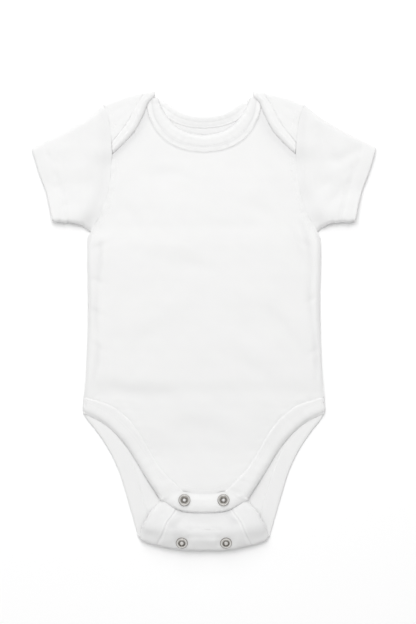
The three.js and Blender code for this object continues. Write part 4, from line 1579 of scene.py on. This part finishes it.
@dataclass
class NeckBindingBack(Strip):
    """The strip round the back of the neck, over both shoulders and down both flaps.

    Attributes:
        rim_rise: how far its rolled edge stands up at the back of the neck.
        row_pitch: usual distance between its rows.
    """

    grooves: tuple = (5.6, 9.4)
    rim_rise: float = 1.5
    row_pitch: float = 1.4
    groove_depth: float = 0.13
    edge_drop: float = 1.9
    edge_run: float = 5.5

    def stretches(self, w: np.ndarray) -> tuple:
        """Rows of its right half, at the shares w across.

        Args:
            w: shares of the way from seam to rolled edge.

        Returns:
            The rows on the back, round the shoulder and on the flap.
        """
        gap = LAY.seam / 2
        back = bound(BACK_NECK.places(46, gap, w))
        back[..., 2] += self.rim_rise * w[None] * smooth((40 - back[..., 0]) / 22)
        xs = lerp(BACK_NECK.seam[-1][0] - gap, FLAP.rolled[0][0], w)
        fold = Back().shoulder_fold(xs, np.linspace(0, math.pi, Back.fold_turns))
        return back, fold, on_height(LAY.flap_height)(FLAP.places(44, -gap, w))

    def sew(self, thread: Thread, rows: np.ndarray, outward: np.ndarray, width: np.ndarray) -> None:
        """Sews its grooves along one stretch.

        Args:
            thread: where its stitches go.
            rows: the stretch's rows.
            outward: their normals, away from the cloth that the strip lies on.
            width: each row's width.
        """
        at = np.arange(len(rows))
        for groove in self.grooves:
            low, t = groove_columns(width, groove, self.across)
            up = outward[at, low]
            thread.sew(lerp(rows[at, low], rows[at, low + 1], t) + up * STITCH_LIFT, up)

    def build(self, finishes: Finishes, thread: Thread) -> bpy.types.Object:
        """Makes the strip and sews its rows.

        Args:
            finishes: the shared finishes.
            thread: where its stitches go.

        Returns:
            The object.
        """
        w = np.linspace(0, 1, self.across)
        back, fold, flap = self.stretches(w)
        half = np.concatenate([back[:-1], fold, flap[1:]])
        whole = mirrored(half)
        middle = len(half) - 1
        normal = normals_of(whole)
        normal *= np.sign(normal[middle, self.across // 2, 2])
        width = widths(whole)[:, None]
        run = np.arange(len(whole), dtype=float)[:, None] * self.row_pitch
        share = np.broadcast_to(w[None], whole.shape[:2])
        over = np.abs(np.arange(len(whole)) - middle)
        side = np.where(over > len(back) + 5, -1.0, 1.0)[:, None]
        floored = 1 - smooth((whole[..., 2] - LAY.bound - 1.6) / 1.5)
        floored = np.where(side > 0, floored, 0)
        lift = (self.relief(width, share, run) + floored * self.drop((1 - share) * width)) * side
        rows = whole + normal * lift[..., None]
        rows[..., 2] = np.maximum(rows[..., 2], self.thickness(width, share) * LAY.strip / 2)
        outward = normal * side[..., None]
        for part in (slice(0, len(flap)), slice(middle - len(back) + 2, middle + len(back) - 1),
                     slice(len(whole) - len(flap), len(whole))):
            self.sew(thread, rows[part], outward[part], width[part, 0])
        return finish_cloth(
            Cloth("neck_strip_back", ("neck_binding_back",), Slot.BINDING, (0.013, 0.262), "folded",
                  ("back_cloth",), 0.0030, LAY.strip),
            [Patch(rows, self.thickness(width, share))], finishes.binding, upward=False)


@dataclass
class LegBinding(Strip):
    """The strip round one leg opening: down the front, round the hip, down the back, over the fold.

    Attributes:
        sign: 1 on the right and -1 on the left.
        hip_slope: how far the hip's turn leans down, at its start and its end.
        hip_overlap: how far the hip's turn stands out.
        hip_rows: rows round the hip.
    """

    sign: int = 1
    hip_slope: tuple = (0.4, 1.1)
    hip_overlap: float = 0.9
    hip_rows: int = 11
    edge_drop: float = 2.6
    edge_run: float = 7.0
    edge_round: float = 3.4
    grooves: tuple = (10.4, 12.6)
    groove_depth: float = 0.1

    @property
    def hand(self) -> str:
        """Which side it is on."""
        return "right" if self.sign > 0 else "left"

    def hip_turn(self, hip: np.ndarray) -> list:
        """Rows round the hip, from the front down to the back.

        Args:
            hip: the front's last row.

        Returns:
            The rows.
        """
        radius = (LAY.front - LAY.bound) / 2
        inset = radius + LAY.strip / 2 - self.hip_overlap
        rows = []
        for turn in np.linspace(0, math.pi, self.hip_rows):
            x = hip[:, 0] - inset + radius * math.sin(turn)
            y = hip[:, 1] - inset * lerp(*self.hip_slope, turn / math.pi)
            z = np.full(len(hip), LAY.bound + radius * (1 + math.cos(turn)))
            rows.append(np.column_stack([x, y, z]))
        return rows

    def build(self, finishes: Finishes, thread: Thread) -> bpy.types.Object:
        """Makes the strip and sews its rows.

        Args:
            finishes: the shared finishes.
            thread: where its stitches go.

        Returns:
            The object.
        """
        gap = LAY.seam / 2
        w = np.linspace(0, 1, self.across)
        front = on_height(LAY.front_form)(FRONT_LEG.places(90, -gap, w))
        back = bound(BACK_LEG.places(90, gap, w))
        turned = self.hip_turn(front[-1])
        folded = [
            LAY.fold_point(lerp(FOLD_INNER.read(d) + gap, FOLD_OUTER.read(d), w), d)
            for d in np.linspace(0, SECTION.length, 46)
        ]
        whole = np.concatenate([front[:-1], turned, back[2:-1], folded])
        normal = upward_normals(whole)
        width = widths(whole)[:, None]
        run = reach_of(whole[:, self.across // 2])[:, None]
        share = np.broadcast_to(w[None], whole.shape[:2])
        turn_at = np.abs(np.arange(len(whole)) - len(front) - 5)[:, None]
        thin = lerp(0.5, 1.0, smooth((turn_at - 5) / 4))
        lift = self.relief(width, share, run) * smooth((whole[..., 2] - LAY.bound - 0.2) / 0.6)
        rows = whole + normal * lift[..., None]
        upper = slice(0, len(front) + len(turned))
        held = np.maximum(rows[upper, :, 2], LAY.bound + LAY.strip / 2 + 0.15)
        rows[upper, :, 2] = lerp(rows[upper, :, 2], held, smooth((normal[upper, :, 2] - 0.2) / 0.5))
        rows[..., 0] *= self.sign
        normal[..., 0] *= self.sign
        sew_across(thread, rows[: len(front)], self.grooves)
        # Painted shade, on the folded-up end only.
        shade = np.zeros(whole.shape[:2])
        end = rows[-len(folded):]
        shade[-len(folded):] = painted_fold_shade(end, share[-len(folded):] * width[-len(folded):])
        return finish_cloth(
            Cloth(f"leg_strip_{self.hand}", (f"leg_binding_{self.hand}",), Slot.BINDING, (0.0155, 0.365),
                  "folded", ("front_cloth", "back_cloth"), 0.0053, LAY.strip),
            [Patch(rows, self.thickness(width, share) * thin, shade)], finishes.binding, upward=False)


@dataclass
class Tab(Strip):
    """The facing across the end of the front, over the ends of both leg strips.

    Attributes:
        blend: width over which it leaves the front's surface for its own.
        seam_share: share of full thickness at its seam.
        overlap: how far its ends lie over the leg strips.
        slack: its waves.
    """

    grooves: tuple = (2.2,)
    across: int = 24
    blend: float = 6.0
    edge_drop: float = 2.3
    edge_run: float = 8.0
    seam_share: float = 0.9
    overlap: float = 0.5
    slack: Ripple = Ripple(0.12, 12, 61)

    def build(self, finishes: Finishes, thread: Thread) -> bpy.types.Object:
        """Makes the tab and sews its edge.

        Args:
            finishes: the shared finishes.
            thread: where its stitches go.

        Returns:
            The object.
        """
        inner = TAB_SEAM.evenly(44) - (0, LAY.seam / 2)
        inner[:, 1] += self.overlap * smooth((inner[:, 0] - 18) / 4)
        w = np.linspace(0, 1, self.across)
        rows = on_height(LAY.tab_height)(mirrored(spread(inner, TAB_EDGE.evenly(44), w)))
        width = widths(rows)[:, None]
        share = np.broadcast_to(w[None], rows.shape[:2])
        joined = LAY.front_form(rows[..., 0], rows[..., 1]) + 0.35 * smooth((np.abs(rows[..., 0]) - 18) / 4)
        rows[..., 2] = lerp(joined, rows[..., 2], smooth(share * width / self.blend))
        rows[..., 2] += self.slack.at(rows[..., 0], rows[..., 1]) * smooth(width / 8)
        rows[..., 2] -= self.drop((1 - share) * width) * smooth(width / 10)
        sew_across(thread, rows[12:-12], self.grooves, 1.0)
        return finish_cloth(
            Cloth("tab_cloth", ("front_tab",), Slot.CLOTH, (0.082, 0.019), "laid", ("back_cloth",), 0.0012,
                  LAY.strip),
            [Patch(rows, np.maximum(self.thickness(width, share), self.seam_share * (1 - share)))],
            finishes.cloth)


# ---- Snaps ----
@dataclass
class Snap:
    """The pressed metal pieces of one snap, and the cloth that shows through its ring."""

    x: float
    y: float
    sides: int = 48
    radius: float = 5.4

    def seat(self, height: object, distance: float) -> tuple:
        """Where a piece sits on a surface.

        Args:
            height: gives the surface's height from x and y.
            distance: from the surface's middle along its normal.

        Returns:
            The place and the normal.
        """
        step = 3.0
        slope_x = (height(self.x + step, self.y) - height(self.x - step, self.y)) / (2 * step)
        slope_y = (height(self.x, self.y + step) - height(self.x, self.y - step)) / (2 * step)
        normal = Vector((-slope_x, -slope_y, 1)).normalized()
        return Vector((self.x, self.y, height(self.x, self.y))) + normal * distance, normal

    def turn(self, name: str, section: tuple, seat: tuple, material: bpy.types.Material, node: str,
             slot: Slot, closed: bool = True, painted_tones: tuple = ((0, 0), (1, 0))) -> bpy.types.Object:
        """Spins a section into a turned piece and seats it.

        Args:
            name: the piece's name.
            section: radius and height of each corner.
            seat: its place and normal.
            material: its finish.
            node: the CAD node that it stands for, or nothing.
            slot: not used.
            closed: whether the section is a loop.
            painted_tones: shares of the radius with the painted reflection there, from 0 for a bright band to
                1 for a dark one.

        Returns:
            The object.
        """
        bm = bmesh.new()
        bm.loops.layers.uv.new(UV_NAME)
        painted_dark = bm.verts.layers.float.new(PAINTED_SHADE_LAYER)
        verts = [bm.verts.new((r, 0, z)) for r, z in section]
        pairs = list(zip(verts, verts[1:])) + ([(verts[-1], verts[0])] if closed else [])
        edges = [bm.edges.new(pair) for pair in pairs]
        bmesh.ops.spin(bm, geom=verts + edges, cent=(0, 0, 0), axis=(0, 0, 1), angle=2 * math.pi,
                       steps=self.sides, use_merge=True)
        bmesh.ops.remove_doubles(bm, verts=bm.verts, dist=0.001)
        bmesh.ops.recalc_face_normals(bm, faces=bm.faces)
        radii, tones = zip(*painted_tones)
        for vert in bm.verts:
            vert[painted_dark] = float(np.interp(vert.co.xy.length / self.radius, radii, tones))
        place, normal = seat
        turn = Vector((0, 0, 1)).rotation_difference(normal).to_matrix().to_4x4()
        turn.translation = place
        bmesh.ops.transform(bm, matrix=turn, verts=bm.verts)
        bmesh.ops.scale(bm, vec=(MM, MM, MM), verts=bm.verts)
        for face in bm.faces:
            face.smooth = True
        mesh = bpy.data.meshes.new(name)
        bm.to_mesh(mesh)
        bm.free()
        mesh.materials.append(material)
        piece = bpy.data.objects.new(name, mesh)
        bpy.context.collection.objects.link(piece)
        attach(piece, "root")
        if node:
            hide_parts(node)
        log.info("%s: %d faces", name, len(mesh.polygons))
        return piece


def arc(center: tuple, radius: float, start: float, end: float, count: int) -> list:
    """Corners of a section's round stretch, by angles in degrees."""
    return [(center[0] + radius * math.cos(a), center[1] + radius * math.sin(a))
            for a in np.radians(np.linspace(start, end, count))]


@dataclass
class Snaps:
    """All the snaps: two rings on the tab and two spare sockets below."""

    ring_at: tuple = (17.7, -162.5)
    spare_at: tuple = (20.0, -200.8)
    radius: float = 5.4
    clear: float = 0.35
    dome: tuple = ((0.0, 0.55), (0.5, 0.52), (0.95, 0.4), (1.3, 0.12), (1.4, -0.3), (0.0, -0.3))
    # Painted reflections on the metal, by share of the radius: 0 is a painted bright band and 1 a painted
    # dark band.
    ring_painted_tones: tuple = (
        (0.28, 0.5), (0.35, 0.95), (0.58, 0.95), (0.7, 0.35), (0.78, 0.05), (0.88, 0.15), (0.95, 0.9),
        (1.0, 1.0))
    socket_painted_tones: tuple = (
        (0.0, 0.1), (0.28, 0.3), (0.42, 1.0), (0.56, 0.95), (0.66, 0.25), (0.72, 0.0), (0.86, 0.05),
        (0.94, 0.8), (1.0, 1.0))

    def ring_section(self) -> list:
        """The open ring: a rounded outer rim, a shallow dish and an inner lip.

        Returns:
            Its corners.
        """
        r = self.radius
        rim, lip = arc((r * 0.88, 0.45), r * 0.12, -50, 110, 9), arc((r * 0.36, 0.6), r * 0.08, 60, 200, 6)
        dish = ((0.8, 0.86), (0.72, 0.62), (0.64, 0.5), (0.56, 0.48), (0.48, 0.56), (0.43, 0.74))
        return [(r * 0.94, 0), *rim, *((r * share, z) for share, z in dish), *lip, (r * 0.28, 0)]

    def socket_section(self) -> list:
        """The socket: a rolled flange, a shallow channel, a raised collar and a dished floor.

        Returns:
            Its corners.
        """
        r = self.radius
        rim = arc((r * 0.93, 0.4), r * 0.07, -80, 120, 7)
        collar = arc((r * 0.57, 1.0), r * 0.085, -20, 180, 9)
        channel = ((0.86, 0.7), (0.78, 0.5), (0.7, 0.42))
        floor = ((0.46, 0.6), (0.38, 0.36), (0.26, 0.22), (0.12, 0.22), (0.0, 0.32))
        return [(0.0, 0.05), (r * 0.9, 0.05), *rim, *((r * share, z) for share, z in channel), *collar,
                *((r * share, z) for share, z in floor)]

    def build(self, finishes: Finishes) -> None:
        """Makes the snaps that show, and dresses the CAD nodes that stay.

        Args:
            finishes: the shared finishes.
        """
        for hand, sign in (("right", 1), ("left", -1)):
            ring = Snap(sign * self.ring_at[0], self.ring_at[1], radius=self.radius)
            seat = ring.seat(lambda x, y: float(LAY.tab_height(np.array(x), np.array(y))),
                             LAY.strip / 2 + self.clear)
            ring.turn(f"ring_{hand}", self.ring_section(), seat, finishes.metal, f"snap_ring_{hand}",
                      Slot.METAL, painted_tones=self.ring_painted_tones)
            ring.turn(f"ring_cloth_{hand}", self.dome, seat, finishes.binding, "", Slot.CLOTH, closed=False)
            spare = Snap(sign * self.spare_at[0], self.spare_at[1], radius=self.radius)
            seat = spare.seat(LAY.on_fold, LAY.wall / 2 + self.clear)
            spare.turn(f"socket_{hand}", self.socket_section(), seat, finishes.metal,
                       f"socket_spare_{hand}", Slot.METAL, closed=False, painted_tones=self.socket_painted_tones)
            for name in ("snap_stud", "socket_under_tab", "back_ring_under_tab", "back_ring_spare"):
                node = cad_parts[f"{name}_{hand}"]
                node.data.materials.clear()
                node.data.materials.append(finishes.metal)


# ---- Studio ----
@dataclass(frozen=True)
class Lamp:
    """A square soft lamp that looks at the garment, in metres and watts."""

    name: str
    place: tuple
    size: float
    power: float
    mirrored: bool = False

    def hang(self) -> None:
        """Makes the lamp."""
        data = bpy.data.lights.new(self.name, "AREA")
        data.size = self.size
        data.energy = self.power
        lamp = bpy.data.objects.new(self.name, data)
        lamp.location = self.place
        lamp.visible_glossy = self.mirrored
        lamp.rotation_euler = (-Vector(self.place)).to_track_quat("-Z", "Y").to_euler()
        bpy.context.collection.objects.link(lamp)


@dataclass
class Studio:
    """Camera straight above, soft light from beyond the neck, and a plain pale floor.

    Attributes:
        middle, view_height: where the camera looks and the height that it takes in, in millimetres.
        distance: height of the camera, in metres.
        sensor: its sensor's height, in millimetres.
        lamps: the lamps.
        sky: strength of the even light.
        floor_tone, floor_glow, floor_size: the floor's colour, its own light and its half width in metres.
    """

    middle: tuple = (3.7, 8.2)
    view_height: float = 567.8
    distance: float = 2.6
    sensor: float = 24.0
    lamps: tuple = (
        Lamp("key", (-0.14, 0.9, 2.15), 1.7, 34.0),
        Lamp("low window", (-0.5, 2.2, 1.35), 1.1, 13.5),
        Lamp("far glint", (0.1, 1.3, 1.7), 0.7, 2.4, True),
        Lamp("near glint", (0.0, -1.3, 1.7), 0.7, 1.7, True),
        Lamp("top glint", (0.0, 0.8, 3.0), 0.9, 2.4, True),
    )
    sky: float = 0.455
    floor_tone: tuple = (0.9, 0.9, 0.9, 1)
    floor_glow: float = 0.035
    floor_size: float = 4.0

    def camera(self) -> None:
        """Makes the camera first and hands it to the scene."""
        data = bpy.data.cameras.new("camera")
        data.sensor_fit = "VERTICAL"
        data.sensor_height = self.sensor
        data.lens = self.sensor * self.distance / (self.view_height * MM)
        camera = bpy.data.objects.new("camera", data)
        camera.location = (self.middle[0] * MM, self.middle[1] * MM, self.distance)
        bpy.context.collection.objects.link(camera)
        bpy.context.scene.camera = camera

    def light(self) -> None:
        """Makes the lamps and the sky's even light."""
        for lamp in self.lamps:
            lamp.hang()
        world = bpy.data.worlds.new("sky")
        world.use_nodes = True
        sky = world.node_tree.nodes["Background"]
        sky.inputs["Color"].default_value = (1, 1, 1, 1)
        sky.inputs["Strength"].default_value = self.sky
        bpy.context.scene.world = world
        bpy.context.scene.view_settings.view_transform = "Standard"

    def floor(self) -> None:
        """Makes the pale floor that the garment lies on."""
        bm = bmesh.new()
        bmesh.ops.create_grid(bm, x_segments=1, y_segments=1, size=self.floor_size)
        mesh = bpy.data.meshes.new("floor")
        bm.to_mesh(mesh)
        bm.free()
        floor = bpy.data.objects.new("floor", mesh)
        bpy.context.collection.objects.link(floor)
        material, shader, _, _ = blank_material("pale floor")
        shader.inputs["Base Color"].default_value = self.floor_tone
        shader.inputs["Emission Color"].default_value = (1, 1, 1, 1)
        shader.inputs["Emission Strength"].default_value = self.floor_glow
        shader.inputs["Roughness"].default_value = 1.0
        shader.inputs["Specular IOR Level"].default_value = 0.0
        mesh.materials.append(material)


def surface_thread(line: np.ndarray, height: object, thread: Thread) -> None:
    """Sews a row of stitches along a plan line on a panel.

    Args:
        line: the plan line.
        height: gives the surface's height from x and y.
        thread: where the stitches go.
    """
    step = 0.5
    x, y = line[:, 0], line[:, 1]
    slope_x = (height(x + step, y) - height(x - step, y)) / (2 * step)
    slope_y = (height(x, y + step) - height(x, y - step)) / (2 * step)
    up = np.column_stack([-slope_x, -slope_y, np.ones_like(x)])
    up /= np.linalg.norm(up, axis=1, keepdims=True)
    thread.sew(with_height(line, height(x, y)) + up * LAY.wall / 2, up)


def sew_front(thread: Thread) -> None:
    """Sews two rows beside each armhole, on the front and the flap, and two above the tab.

    Args:
        thread: where the stitches go.
    """
    front, back = Front(), Back()

    def on_front(x: np.ndarray, y: np.ndarray) -> np.ndarray:
        """The front's own height."""
        return LAY.front_form(x, y) + front.relief(x, y)

    def on_flap(x: np.ndarray, y: np.ndarray) -> np.ndarray:
        """A flap's own height."""
        return LAY.flap_height(x, y) + back.flap_relief(x, y)

    for sign in (1, -1):
        for inset in front.stitch_insets:
            line = offset(ARM_LINE, inset)
            low, high = line[line[:, 1] < 149], line[line[:, 1] > 168]
            surface_thread(low * (sign, 1), on_front, thread)
            surface_thread(high * (sign, 1), on_flap, thread)
    seam = TAB_SEAM.points[TAB_SEAM.points[:, 0] < 17.0]
    seam = np.vstack([seam[:0:-1] * (-1, 1), seam])
    for above in (3.2, 5.2):
        surface_thread(seam + (0, above), on_front, thread)


def sew_fold(thread: Thread) -> None:
    """Sews the rows across the folded-up end and on each side of its strips' seams.

    Args:
        thread: where the stitches go.
    """
    xs = np.linspace(-15, 15, 40)
    up = np.tile((0.0, 0.0, 1.0), (len(xs), 1))
    for row in Back.stitch_rows:
        place = np.array([(x, row, LAY.on_fold(x, row)) for x in xs])
        thread.sew(place + up * 0.25, up)
    reach = np.linspace(15, SECTION.length - 1, 60)
    beside = np.array([-1.0, 0.0, 1.0])
    for inset, lift in ((-1.5, 0.45), (1.5, 0.75)):
        strip = np.array([LAY.fold_point(FOLD_INNER.read(d) + inset + beside, d) for d in reach])
        up = normals_of(strip)[:, 1]
        up *= np.sign(np.median(up[:, 2]))
        for sign in (1, -1):
            thread.sew((strip[:, 1] + up * lift) * (sign, 1, 1), up * (sign, 1, 1))


def main() -> None:
    """Builds the studio and then each piece in order."""
    studio = Studio()
    studio.camera()
    studio.light()
    studio.floor()
    finishes = Finishes()
    Back().build(finishes)
    Front().build(finishes)
    for sign in (1, -1):
        Sleeve(sign).build(finishes)
    thread = Thread()
    NeckBindingBack(seed=52).build(finishes, thread)
    NeckBindingFront(seed=53).build(finishes, thread)
    for sign in (1, -1):
        LegBinding(sign=sign, seed=55 + sign).build(finishes, thread)
    Tab().build(finishes, thread)
    thread.make("binding_stitches", finishes.thread, Slot.BINDING)
    thread = Thread()
    sew_front(thread)
    sew_fold(thread)
    thread.make("panel_stitches", finishes.thread, Slot.CLOTH)
    Snaps().build(finishes)


if __name__ == "__main__":
    main()
